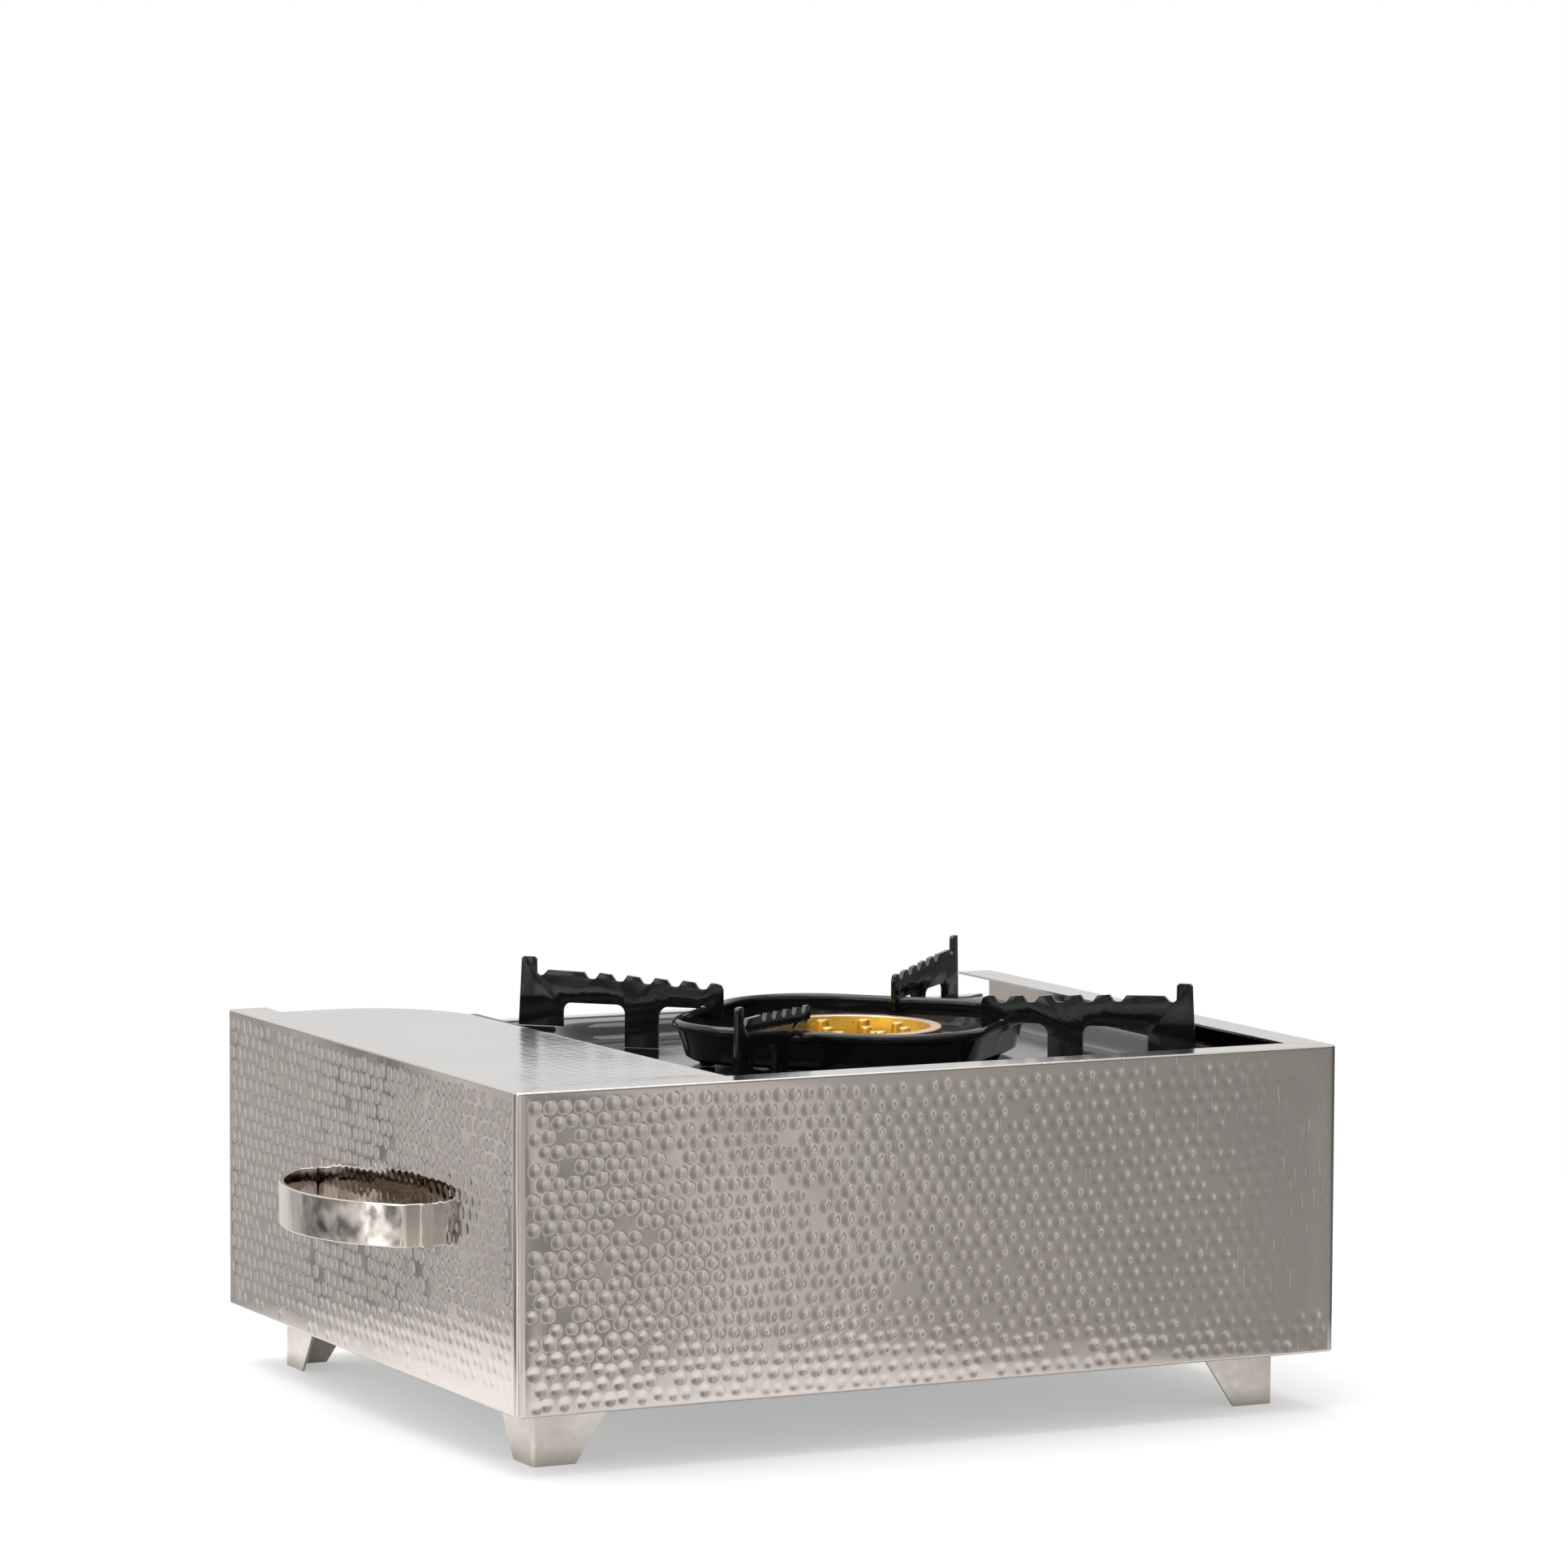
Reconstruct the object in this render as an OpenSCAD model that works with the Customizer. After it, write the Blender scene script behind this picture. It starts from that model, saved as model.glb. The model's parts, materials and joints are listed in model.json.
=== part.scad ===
// Portable gas stove in a hammered sheet-metal serving casing.
// Origin: centre of the footprint, on the surface the four feet stand on.
// +X runs along the long front wall, +Y points to the open operator side, +Z up.

/* [Casing] */
// Length of the long front wall
case_w = 400; // [380:1:440]
// Depth from the front wall to the open side
case_d = 328; // [320:1:360]
// Height of the casing walls
wall_h = 138; // [132:1:160]
// Thickness of the casing sheet
sheet = 1; // [0.8:0.1:1.5]
// Width of the flat flange on top of each side wall
side_flange = 18; // [12:1:20]
// Width of the flat flange on top of the front wall
front_flange = 16; // [10:1:18]
// Width of the hem folded in along the lower edges
hem = 8; // [5:1:10]

/* [Top panel] */
// Covered width at the front, from the left face
panel_front_w = 105; // [90:1:112]
// Covered width at the rear, from the left face
panel_rear_w = 94; // [80:1:105]
// Distance from the front face to the rear edge of the panel
panel_d = 309; // [280:1:315]
// Radius of the free rear corner of the panel
panel_corner_r = 52; // [20:1:60]

/* [Feet] */
// Height of the casing above the table
foot_h = 26; // [20:1:40]
// Distance of each foot from the side wall
foot_inset_x = 18; // [12:1:30]
// Distance of each foot from the front or rear edge
foot_inset_y = 24; // [12:1:40]
// Width of a foot at the top
foot_top = 38; // [30:1:50]
// Width of a foot at the table
foot_bottom = 20; // [12:1:28]
// Thickness of the foot sheet
foot_sheet = 1.2; // [1:0.1:2]

/* [Handles] */
// Distance between the two ends of a handle
handle_span = 124; // [100:1:140]
// How far a handle stands out from the wall
handle_reach = 37; // [30:1:45]
// Height of the handle strap
strap_h = 19; // [14:1:24]
// Thickness of the handle strap
strap_t = 2.5; // [2:0.1:3]
// Straight length at each end before the bow begins
handle_leg = 10; // [6:1:14]
// Offset of the handle centre from the middle of the wall
handle_y = -5; // [-10:1:10]

/* [Stove] */
// Width of the stove body
stove_w = 340; // [330:1:340]
// Depth of the stove body
stove_d = 270; // [260:1:270]
// Width of the cartridge bay
bay_w = 77; // [74:1:80]
// Height of the plate margin above the table
plate_z = 156; // [154:1:158]
// Depth of the pressed recess in the plate
recess = 8.3; // [6:0.1:10]
// Height of the stove body, from its floor to the plate margin
body_h = 81; // [79:1:84]

/* [Burner] */
// Distance of the burner centre from the middle of the casing
burner_x = 40; // [36:1:44]
// Outer radius of the burner ring
ring_r = 41.3; // [38:0.1:43]
// Height of the burner ring above the plate margin
ring_rise = 7; // [5:0.5:8]
// Number of nozzles in the outer circle
nozzle_count = 8; // [6:1:10]

/* [Drip pan and supports] */
// Half width of the drip pan over its rolled rim
pan_half = 74; // [72:0.5:76]
// Corner radius of the drip pan
pan_corner_r = 45; // [35:1:50]
// Height of the rolled rim above the plate margin
pan_rise = 12.3; // [10:0.1:13]
// Radius of the rolled rim
rim_r = 2.4; // [2:0.1:2.8]
// Thickness of a pan support
arm_t = 2; // [1.6:0.1:2.4]
// Distance of the innermost notch from the burner centre
notch_r = 72; // [71:0.5:74]
// Spacing of the notches
notch_pitch = 13.6; // [13:0.1:14]
// Depth of a notch
notch_depth = 3.1; // [2:0.1:3.5]
// Outer radius of the four prongs
prong_r = 161; // [159:0.5:163]
// Height of the prong tips above the plate margin
prong_rise = 32.3; // [30:0.1:34]

/* [Cartridge and controls] */
// Radius of the gas cartridge
can_r = 33.5; // [32:0.5:34]
// Length of the gas cartridge body
can_len = 184; // [170:1:186]
// Radius of the control knob
knob_r = 21; // [17:0.5:23]
// Travel of the lock lever
lever_travel = 18; // [14:1:20]

/* [Hidden] */
$fn = 64;
eps = 0.01;

// casing
x_out = case_w / 2;
y_out = case_d / 2;
top_z = foot_h + wall_h;
base_z = foot_h + sheet;
base_t = 1.2;
handle_z = foot_h + wall_h / 2;
slot_gap = 0.2;
foot_x = x_out - foot_inset_x;
foot_y = y_out - foot_inset_y;
foot_tab = 30;
tab_len = 14;
lip_len = 4;
lip_t = 2;

// stove, which stands on the shelf on its own rubber feet
stove_x0 = -161;
stove_x1 = stove_x0 + stove_w;
stove_y0 = -137;
stove_y1 = stove_y0 + stove_d;
skin = 1;
body_z = plate_z - body_h;
rubber_h = 4.7;
stove_gap = 0.3;
shelf_z = body_z - rubber_h - stove_gap;
shelf_t = 1.2;
rail_w = 22;
rail_x = 150;
stop_h = 6;
bay_x1 = stove_x0 + bay_w;
plate_x0 = bay_x1 + 1;
skirt = 9;
fit_gap = 0.2;
plate_corner_r = 12;
recess_margin = 8;
recess_slope = 9;
recess_r = 38;
recess_z = plate_z - recess;
recess_x0 = plate_x0 + recess_margin - 1;
recess_x1 = stove_x1 - recess_margin;
recess_y0 = stove_y0 + 24;
recess_y1 = stove_y1 - 22;
well_r = 50;
lid_z = 160;

// cartridge, regulator and gas line
can_x = stove_x0 + bay_w / 2;
can_z = body_z + 37;
can_y1 = 72;
can_y0 = can_y1 - can_len;
neck_r = 16;
tip_r = 4.6;
tip_y = can_y1 + 18;
reg_y = stove_y1 - 17;
socket_y = tip_y + 3;
line_angle = atan2(-reg_y, burner_x - can_x);
line_len = norm([burner_x - can_x, reg_y]);
tube_r = 9;
tube_start = 30;
base_r = 24;
spindle_r = 3;
run_gap = 0.05;
fascia_t = 3;
fascia_y1 = stove_y1 + fascia_t;
knob_y0 = fascia_y1 + 2;
knob_len = 17;
lever_x = bay_x1 + 14;
lever_z = body_z + 50;
electrode_r = 45.2;
electrode_angle = -100;

// burner, drip pan and supports
ring_z = plate_z + ring_rise;
ring_w = 5;
dish_floor_z = ring_z - 13;
rim_z = plate_z + pan_rise - rim_r;
rim_half = pan_half - rim_r;
pan_bottom_half = 66.5;
pan_floor_z = plate_z - 6;
pan_hole_r = 48;
pan_leg_r = 3.5;
pan_leg_at = 73;
notch_z = plate_z + 20.2;
notch_slope = 0.049;
notch_count = 5;
arm_inner_r = 62.2;
arm_gap = 0.3;
arch_z = plate_z + 11.5;

module rounded_rect(x0, y0, x1, y1, r) {
    translate([x0 + r, y0]) square([x1 - x0 - 2 * r, y1 - y0]);
    translate([x0, y0 + r]) square([x1 - x0, y1 - y0 - 2 * r]);
    for (x = [x0 + r, x1 - r], y = [y0 + r, y1 - r]) translate([x, y]) circle(r);
}

module box(x0, x1, y0, y1, z0, z1) {
    translate([x0, y0, z0]) cube([x1 - x0, y1 - y0, z1 - z0]);
}

// cylinder along +Y from y0 to y1
module rod_y(x, z, y0, y1, r) {
    translate([x, y0, z]) rotate([-90, 0, 0]) cylinder(h = y1 - y0, r = r);
}

// cylinder along the gas line, measured from the regulator centre
module line_rod(from, to, r) {
    translate([can_x, reg_y, can_z]) rotate([0, 0, line_angle]) translate([from, 0, 0])
        rotate([0, 90, 0]) cylinder(h = to - from, r = r);
}

// ---- casing ----

// mitred strip along the front edge, width w, one sheet thick
module front_strip(w, side_w, z) {
    translate([0, 0, z]) linear_extrude(sheet)
        polygon([[-x_out, -y_out], [x_out, -y_out],
            [x_out - side_w, -y_out + w], [side_w - x_out, -y_out + w]]);
}

// mitred strip along the right-hand edge
module side_strip(w, front_w, z) {
    translate([0, 0, z]) linear_extrude(sheet)
        polygon([[x_out, -y_out], [x_out, y_out], [x_out - w, y_out], [x_out - w, -y_out + front_w]]);
}

module casing_front_wall() {
    color("silver") {
        box(-x_out, x_out, -y_out, -y_out + sheet, base_z, top_z - sheet);
        front_strip(front_flange, side_flange, top_z - sheet);
        front_strip(hem, hem, foot_h);
    }
}

module side_wall() {
    difference() {
        box(x_out - sheet, x_out, -y_out + sheet, y_out, base_z, top_z - sheet);
        for (end = [-1, 1])
            translate([x_out - 2 * sheet, handle_y + end * (handle_span / 2 - strap_t / 2), handle_z])
                translate([0, -strap_t / 2 - slot_gap, -strap_h / 2 - slot_gap])
                    cube([3 * sheet, strap_t + 2 * slot_gap, strap_h + 2 * slot_gap]);
    }
    side_strip(side_flange, front_flange, top_z - sheet);
    side_strip(hem, hem, foot_h);
}

module casing_right_wall() {
    color("silver") side_wall();
}

module casing_left_wall() {
    color("silver") mirror([1, 0, 0]) side_wall();
}

// the sheet over the cartridge side, welded between the flanges
module casing_top_panel() {
    x_left = side_flange - x_out;
    y_front = front_flange - y_out;
    y_rear = panel_d - y_out;
    x_front = panel_front_w - x_out;
    x_rear = panel_rear_w - x_out;
    r = panel_corner_r;
    color("gainsboro") translate([0, 0, top_z - sheet]) linear_extrude(sheet)
        polygon(concat(
            [[x_left, y_front], [x_front, y_front]],
            [for (a = [0:6:90]) [x_rear - r + r * cos(a), y_rear - r + r * sin(a)]],
            [[x_left, y_rear]]));
}

module casing_base() {
    color("silver") {
        box(sheet - x_out, x_out - sheet, sheet - y_out, y_out - sheet, base_z, base_z + base_t);
        box(hem - x_out, x_out - hem, y_out - sheet - hem, y_out - sheet, foot_h, base_z);
    }
}

// foot for the front left corner, folded from one sheet
module foot() {
    side = [[0, 0], [foot_bottom, 0], [foot_top, base_z], [0, base_z]];
    translate([-foot_x, -foot_y, 0]) {
        translate([0, foot_sheet, 0]) rotate([90, 0, 0]) linear_extrude(foot_sheet) polygon(side);
        rotate([90, 0, 90]) linear_extrude(foot_sheet) polygon(side);
        box(0, foot_tab, 0, foot_tab, base_z - foot_sheet, base_z);
    }
}

module foot_front_left() {
    color("lightgray") foot();
}

module foot_front_right() {
    color("lightgray") mirror([1, 0, 0]) foot();
}

module foot_rear_left() {
    color("lightgray") mirror([0, 1, 0]) foot();
}

module foot_rear_right() {
    color("lightgray") mirror([1, 0, 0]) mirror([0, 1, 0]) foot();
}

// bowed strap on the right wall, with a short lip outside and a longer tab inside at each end
module handle() {
    half = handle_span / 2;
    rise = handle_reach - handle_leg;
    bow_r = (half * half + rise * rise) / (2 * rise);
    translate([x_out, handle_y, handle_z - strap_h / 2]) linear_extrude(strap_h) {
        intersection() {
            difference() {
                translate([handle_reach - bow_r, 0]) circle(bow_r, $fn = 180);
                translate([handle_reach - bow_r, 0]) circle(bow_r - strap_t, $fn = 180);
            }
            translate([handle_leg - eps, -half]) square([handle_reach, handle_span]);
        }
        for (end = [0, 1]) mirror([0, end]) {
            translate([-sheet - strap_t, half - strap_t]) square([sheet + strap_t + handle_leg, strap_t]);
            translate([-sheet - strap_t, half - tab_len]) square([strap_t, tab_len]);
            translate([0, half - strap_t]) square([lip_t, strap_t + lip_len]);
        }
    }
}

module handle_right() {
    color("whitesmoke") handle();
}

module handle_left() {
    color("whitesmoke") mirror([1, 0, 0]) handle();
}

// channel that carries the shelf, open towards the middle
module shelf_rail() {
    z0 = base_z + base_t;
    z1 = shelf_z - shelf_t;
    difference() {
        box(rail_x - rail_w, rail_x, -y_out + 24, y_out - 14, z0, z1);
        box(rail_x - rail_w - 1, rail_x - shelf_t, -y_out, y_out, z0 + shelf_t, z1 - shelf_t);
    }
}

module shelf_rail_right() {
    color("gray") shelf_rail();
}

module shelf_rail_left() {
    color("gray") mirror([1, 0, 0]) shelf_rail();
}

// flat shelf with a turned-up stop at the front for the stove to rest against
module stove_shelf() {
    stop_y = stove_y0 - stove_gap - shelf_t;
    color("darkgray") {
        box(2 - x_out, x_out - 2, stop_y, y_out - 6, shelf_z - shelf_t, shelf_z);
        box(stove_x0, stove_x1, stop_y, stop_y + shelf_t, shelf_z - shelf_t, shelf_z + stop_h);
    }
}

// ---- stove body ----

module stove_body() {
    wall_top = plate_z - skin;
    bay_top = lid_z - 14;
    x0 = stove_x0 + skin + fit_gap;
    x1 = stove_x1 - skin - fit_gap;
    y0 = stove_y0 + skin + fit_gap;
    color([0.08, 0.08, 0.08]) difference() {
        union() {
            box(x0, x1, y0, stove_y1, body_z, body_z + skin);
            box(x0, x0 + skin, y0, stove_y1, body_z, bay_top);
            box(x1 - skin, x1, y0, stove_y1, body_z, wall_top);
            box(x0, x1, y0, y0 + skin, body_z, bay_top);
            box(plate_x0 + skin + fit_gap, x1, y0, y0 + skin, body_z, wall_top);
        }
        for (row = [0:4]) box(x1 - 5, x1 + 1, -60, 60, body_z + 14 + 9 * row, body_z + 17 + 9 * row);
        // room for the rounded corners of the plate's skirt
        for (x = [plate_x0, stove_x1 - plate_corner_r], y = [stove_y0, stove_y1 - plate_corner_r])
            box(x, x + plate_corner_r, y, y + plate_corner_r, plate_z - skirt - fit_gap, plate_z);
    }
}

// tapered solid used for both faces of the pressed recess
module recess_form(grow, z_low, z_high) {
    g = grow;
    hull() {
        translate([0, 0, z_high]) linear_extrude(eps)
            rounded_rect(recess_x0 - g, recess_y0 - g, recess_x1 + g, recess_y1 + g, recess_r + g, $fn = 48);
        translate([0, 0, z_low]) linear_extrude(eps)
            rounded_rect(recess_x0 + recess_slope - g, recess_y0 + recess_slope - g,
                recess_x1 - recess_slope + g, recess_y1 - recess_slope + g,
                recess_r - recess_slope + g, $fn = 48);
    }
}

module stove_top_plate() {
    color([0.05, 0.05, 0.05]) difference() {
        union() {
            translate([0, 0, plate_z - skirt]) linear_extrude(skirt) difference() {
                rounded_rect(plate_x0, stove_y0, stove_x1, stove_y1, plate_corner_r);
                rounded_rect(plate_x0 + skin, stove_y0 + skin, stove_x1 - skin, stove_y1 - skin,
                    plate_corner_r - skin);
            }
            translate([0, 0, plate_z - skin]) linear_extrude(skin)
                rounded_rect(plate_x0, stove_y0, stove_x1, stove_y1, plate_corner_r);
            recess_form(skin, recess_z - skin, plate_z - skin);
        }
        recess_form(0, recess_z, plate_z);
        translate([burner_x, 0, recess_z - 5]) cylinder(h = 10, r = well_r, $fn = 96);
    }
}

// upright sheet between the cartridge bay and the burner
module heat_shield() {
    t = 0.8;
    x0 = bay_x1 - t;
    color("gray") difference() {
        union() {
            box(x0, x0 + t, stove_y0 + 4, stove_y1 - 1, body_z + skin, plate_z - 6);
            for (y = [stove_y0 + 30, stove_y1 - 40]) box(x0 - 7, x0, y, y + 2, plate_z - 14, plate_z - 6);
        }
        line_rod(0, line_len, tube_r + 1);
        rod_y(bay_x1 - 4.5, plate_z - 10, stove_y0, stove_y1, 1.6);
    }
}

module cartridge_lid() {
    x0 = stove_x0;
    x1 = bay_x1;
    y1 = stove_y1 - 1;
    drop = 14;
    r = 6;
    color([0.06, 0.06, 0.06]) {
        difference() {
            translate([0, y1, 0]) rotate([90, 0, 0]) linear_extrude(y1 - stove_y0) difference() {
                union() {
                    translate([x0, lid_z - drop]) square([x1 - x0, drop - r]);
                    translate([x0 + r, lid_z - r - eps]) square([x1 - x0 - 2 * r, r + eps]);
                    for (x = [x0 + r, x1 - r]) translate([x, lid_z - r]) circle(r);
                }
                translate([x0 + skin, lid_z - drop - 1]) square([x1 - x0 - 2 * skin, drop - r + 1]);
                translate([x0 + r, lid_z - r - 1]) square([x1 - x0 - 2 * r, r + 1 - skin]);
                for (x = [x0 + r, x1 - r]) translate([x, lid_z - r]) circle(r - skin);
            }
            box(x1 - 12, x1 + 1, stove_y0 - 1, y1 + 1, lid_z - drop - 1, lid_z - 9);
        }
        box(x0 + skin, x1 - skin, stove_y0, stove_y0 + skin, lid_z - drop + 0.5, lid_z - skin);
        for (y = [stove_y0 + 34, stove_y1 - 46]) difference() {
            box(x1 - 8, x1 - skin, y, y + 4, plate_z - 13, lid_z - skin);
            rod_y(x1 - 4.5, plate_z - 10, y - 1, y + 5, 1.6);
        }
    }
}

module lid_hinge_rod() {
    color("silver") rod_y(bay_x1 - 4.5, plate_z - 10, stove_y0 + 26, stove_y1 - 34, 1.5);
}

// panel on the operator side, with a lip over the plate's rear margin
module control_fascia() {
    chamfer = 10;
    color("slategray") difference() {
        union() {
            box(stove_x0, stove_x1, stove_y1, fascia_y1, body_z, plate_z + 0.6);
            translate([0, 0, plate_z]) linear_extrude(0.6)
                polygon([[plate_x0, stove_y1 - 6], [stove_x1 - chamfer, stove_y1 - 6],
                    [stove_x1, stove_y1 + 1], [stove_x1, fascia_y1], [plate_x0, fascia_y1]]);
        }
        rod_y(can_x, can_z, stove_y1 - 1, fascia_y1 + 1, spindle_r + 1);
        box(lever_x - 3, lever_x + 3, stove_y1 - 1, fascia_y1 + 1, lever_z - lever_travel - 3, lever_z + 3);
        for (x = [stove_x0 + 8, stove_x1 - 8], z = [body_z + 10, plate_z - 14])
            rod_y(x, z, stove_y1 - 1, fascia_y1 + 1, 1.5);
    }
}

module fascia_screws() {
    color("silver") for (x = [stove_x0 + 8, stove_x1 - 8], z = [body_z + 10, plate_z - 14]) {
        rod_y(x, z, stove_y1 - 1, fascia_y1, 1.45);
        difference() {
            rod_y(x, z, fascia_y1, fascia_y1 + 1.8, 3);
            translate([x, fascia_y1 + 1.6, z]) cube([4, 1, 0.8], center = true);
            translate([x, fascia_y1 + 1.6, z]) cube([0.8, 1, 4], center = true);
        }
    }
}

module knob_dial_ring() {
    color("lightgray") difference() {
        rod_y(can_x, can_z, fascia_y1, fascia_y1 + 1, knob_r + 5);
        rod_y(can_x, can_z, fascia_y1 - 1, fascia_y1 + 2, spindle_r + 2);
    }
}

module stove_feet() {
    color([0.12, 0.12, 0.12]) for (x = [stove_x0 + 22, stove_x1 - 22], y = [stove_y0 + 22, stove_y1 - 22])
        translate([x, y, body_z - rubber_h]) cylinder(h = rubber_h, r1 = 8, r2 = 9);
}

// ---- gas line and ignition ----

module regulator_body() {
    color("goldenrod") difference() {
        union() {
            rod_y(can_x, can_z, socket_y, stove_y1 - 4, 14);
            rod_y(can_x, can_z, stove_y1 - 4, stove_y1, 8);
            line_rod(10, 24, 6);
            box(can_x - 12, can_x + 12, stove_y1 - 12, stove_y1 - 8, body_z + skin, can_z);
        }
        rod_y(can_x, can_z, socket_y - 1, socket_y + 8, tip_r + 0.3);
        rod_y(can_x, can_z, stove_y1 - 14, stove_y1 + 1, spindle_r + run_gap);
    }
}

module gas_jet() {
    color("gold") line_rod(24, 36, 3.2);
}

module mixing_tube() {
    color("silver") difference() {
        line_rod(tube_start, line_len - base_r - 2, tube_r);
        line_rod(tube_start - 1, line_len - base_r - 4, tube_r - 1.2);
        translate([can_x, reg_y, can_z]) rotate([0, 0, line_angle])
            translate([tube_start + 8, 0, 0]) cylinder(h = 20, r = 4);
    }
}

module piezo_igniter() {
    color("ivory") rod_y(lever_x + 24, can_z - 14, stove_y1 - 34, stove_y1 - 2, 6);
}

function unit(v) = v / norm(v);

function route_tangent(route, i) =
    unit(route[min(i + 1, len(route) - 1)] - route[max(i - 1, 0)]);

// ring of points square to the route at its point i
function route_ring(route, i, r, sides) =
    let (t = route_tangent(route, i), u = unit(cross([1, 0.4, 0.2], t)), v = cross(t, u))
    [for (k = [0:sides - 1]) route[i] + r * (u * cos(360 * k / sides) + v * sin(360 * k / sides))];

// round tube swept along a list of points
module swept_tube(route, r, sides) {
    rings = len(route);
    points = [for (i = [0:rings - 1]) each route_ring(route, i, r, sides)];
    sides_faces = [for (i = [0:rings - 2], k = [0:sides - 1])
        let (n = (k + 1) % sides, a = i * sides + k, b = i * sides + n) each
        [[a, a + sides, b + sides], [a, b + sides, b]]];
    start_cap = [for (k = [0:sides - 1]) k];
    end_cap = [for (k = [sides - 1:-1:0]) (rings - 1) * sides + k];
    polyhedron(points, concat(sides_faces, [start_cap, end_cap]));
}

// ignition wire, clipped along the floor of the stove
module igniter_lead() {
    ex = burner_x + electrode_r * cos(electrode_angle);
    ey = electrode_r * sin(electrode_angle);
    sx = lever_x + 24;
    sy = stove_y1 - 34;
    floor_z = body_z + 3;
    route = [[sx, sy, can_z - 14], [sx, sy - 8, can_z - 15], [sx, sy - 30, floor_z + 6],
        [sx + 1, sy - 44, floor_z + 1], [sx + 2, sy - 60, floor_z], [sx + 10, -40, floor_z],
        [sx + 18, -56, floor_z], [sx + 30, -62, floor_z], [ex - 10, ey - 6, floor_z],
        [ex - 2, ey - 1, floor_z + 4], [ex, ey, floor_z + 10], [ex, ey, body_z + 30]];
    color("firebrick") swept_tube(route, 1, 8);
}

module igniter_electrode() {
    translate([burner_x + electrode_r * cos(electrode_angle), electrode_r * sin(electrode_angle), 0]) {
        color("white") translate([0, 0, body_z + 30]) cylinder(h = ring_z - 6 - body_z - 30, r = 2);
        color("silver") translate([0, 0, ring_z - 6]) cylinder(h = 4, r = 0.8);
    }
}

// ---- burner ----

module burner_base() {
    color("gray") translate([burner_x, 0, 0]) difference() {
        union() {
            translate([0, 0, can_z - 12]) cylinder(h = dish_floor_z - 3 - can_z + 12, r = base_r);
            translate([0, 0, body_z + skin]) cylinder(h = can_z - 12 - body_z - skin, r = 9);
            rotate([0, 0, line_angle]) translate([-base_r - 2, 0, can_z]) rotate([0, 90, 0])
                cylinder(h = base_r, r = tube_r + 2);
        }
        translate([0, 0, can_z - 10]) cylinder(h = 60, r = base_r - 2.5);
        rotate([0, 0, line_angle]) translate([-base_r - 3, 0, can_z]) rotate([0, 90, 0])
            cylinder(h = base_r, r = tube_r - 1.2);
    }
}

// cast dish with a flat machined ring around its mouth
module burner_head() {
    f = dish_floor_z;
    mouth_r = ring_r - ring_w;
    color("goldenrod") translate([burner_x, 0, 0]) rotate_extrude($fn = 128) polygon([
        [8, f - 3], [ring_r - 8, f - 3], [ring_r - 1, f + 3], [ring_r, ring_z - 5],
        [ring_r, ring_z - 0.6], [ring_r - 0.6, ring_z], [mouth_r, ring_z], [mouth_r - 1, ring_z - 1],
        [mouth_r - 3, f + 2], [mouth_r - 5, f], [8, f]]);
}

module nozzle(r, angle, top_z) {
    rotate([0, 0, angle]) translate([r, 0, dish_floor_z])
        cylinder(h = top_z - dish_floor_z, r1 = 3.8, r2 = 2.5, $fn = 32);
}

module burner_nozzles() {
    outer_circle_r = 25;
    outer_turn = 5;
    inner_circle_r = 13;
    inner_turn = 30;
    inner = nozzle_count / 2;
    color("gold") translate([burner_x, 0, 0]) {
        for (i = [0:nozzle_count - 1])
            nozzle(outer_circle_r, i * 360 / nozzle_count + outer_turn, ring_z - 0.2);
        for (i = [0:inner - 1]) nozzle(inner_circle_r, i * 360 / inner + inner_turn, ring_z - 2);
    }
}

// ---- drip pan and pan supports ----

// pan section from a corner centre outwards: floor, sloping wall and rolled rim
module pan_section() {
    wall_t = 1;
    foot_r = pan_corner_r - (pan_half - pan_bottom_half);
    bead_r = pan_corner_r - rim_r;
    polygon([[0, pan_floor_z], [foot_r, pan_floor_z], [bead_r, rim_z], [bead_r - wall_t, rim_z],
        [foot_r - 0.6, pan_floor_z + wall_t], [0, pan_floor_z + wall_t]]);
    translate([bead_r, rim_z]) circle(rim_r, $fn = 32);
}

module drip_pan() {
    c = pan_half - pan_corner_r;
    leg_top = pan_floor_z + 0.5;
    color([0.04, 0.04, 0.04]) translate([burner_x, 0, 0]) {
        difference() {
            rotate([0, 0, 45]) union() {
                for (side = [0:3]) rotate([0, 0, 90 * side]) {
                    translate([c, c, 0]) rotate_extrude(angle = 90, $fn = 96) pan_section();
                    translate([c, c, 0]) rotate([90, 0, 0]) linear_extrude(2 * c) pan_section();
                }
                translate([-c, -c, pan_floor_z]) cube([2 * c, 2 * c, 1]);
            }
            translate([0, 0, pan_floor_z - 1]) cylinder(h = 4, r = pan_hole_r, $fn = 96);
        }
        for (a = [0:90:270]) rotate([0, 0, a]) translate([pan_leg_at, 0, recess_z + arm_gap])
            cylinder(h = leg_top - recess_z - arm_gap, r = pan_leg_r, $fn = 32);
    }
}

function notch_floor(r) = notch_z + notch_slope * (r - notch_r);

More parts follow.
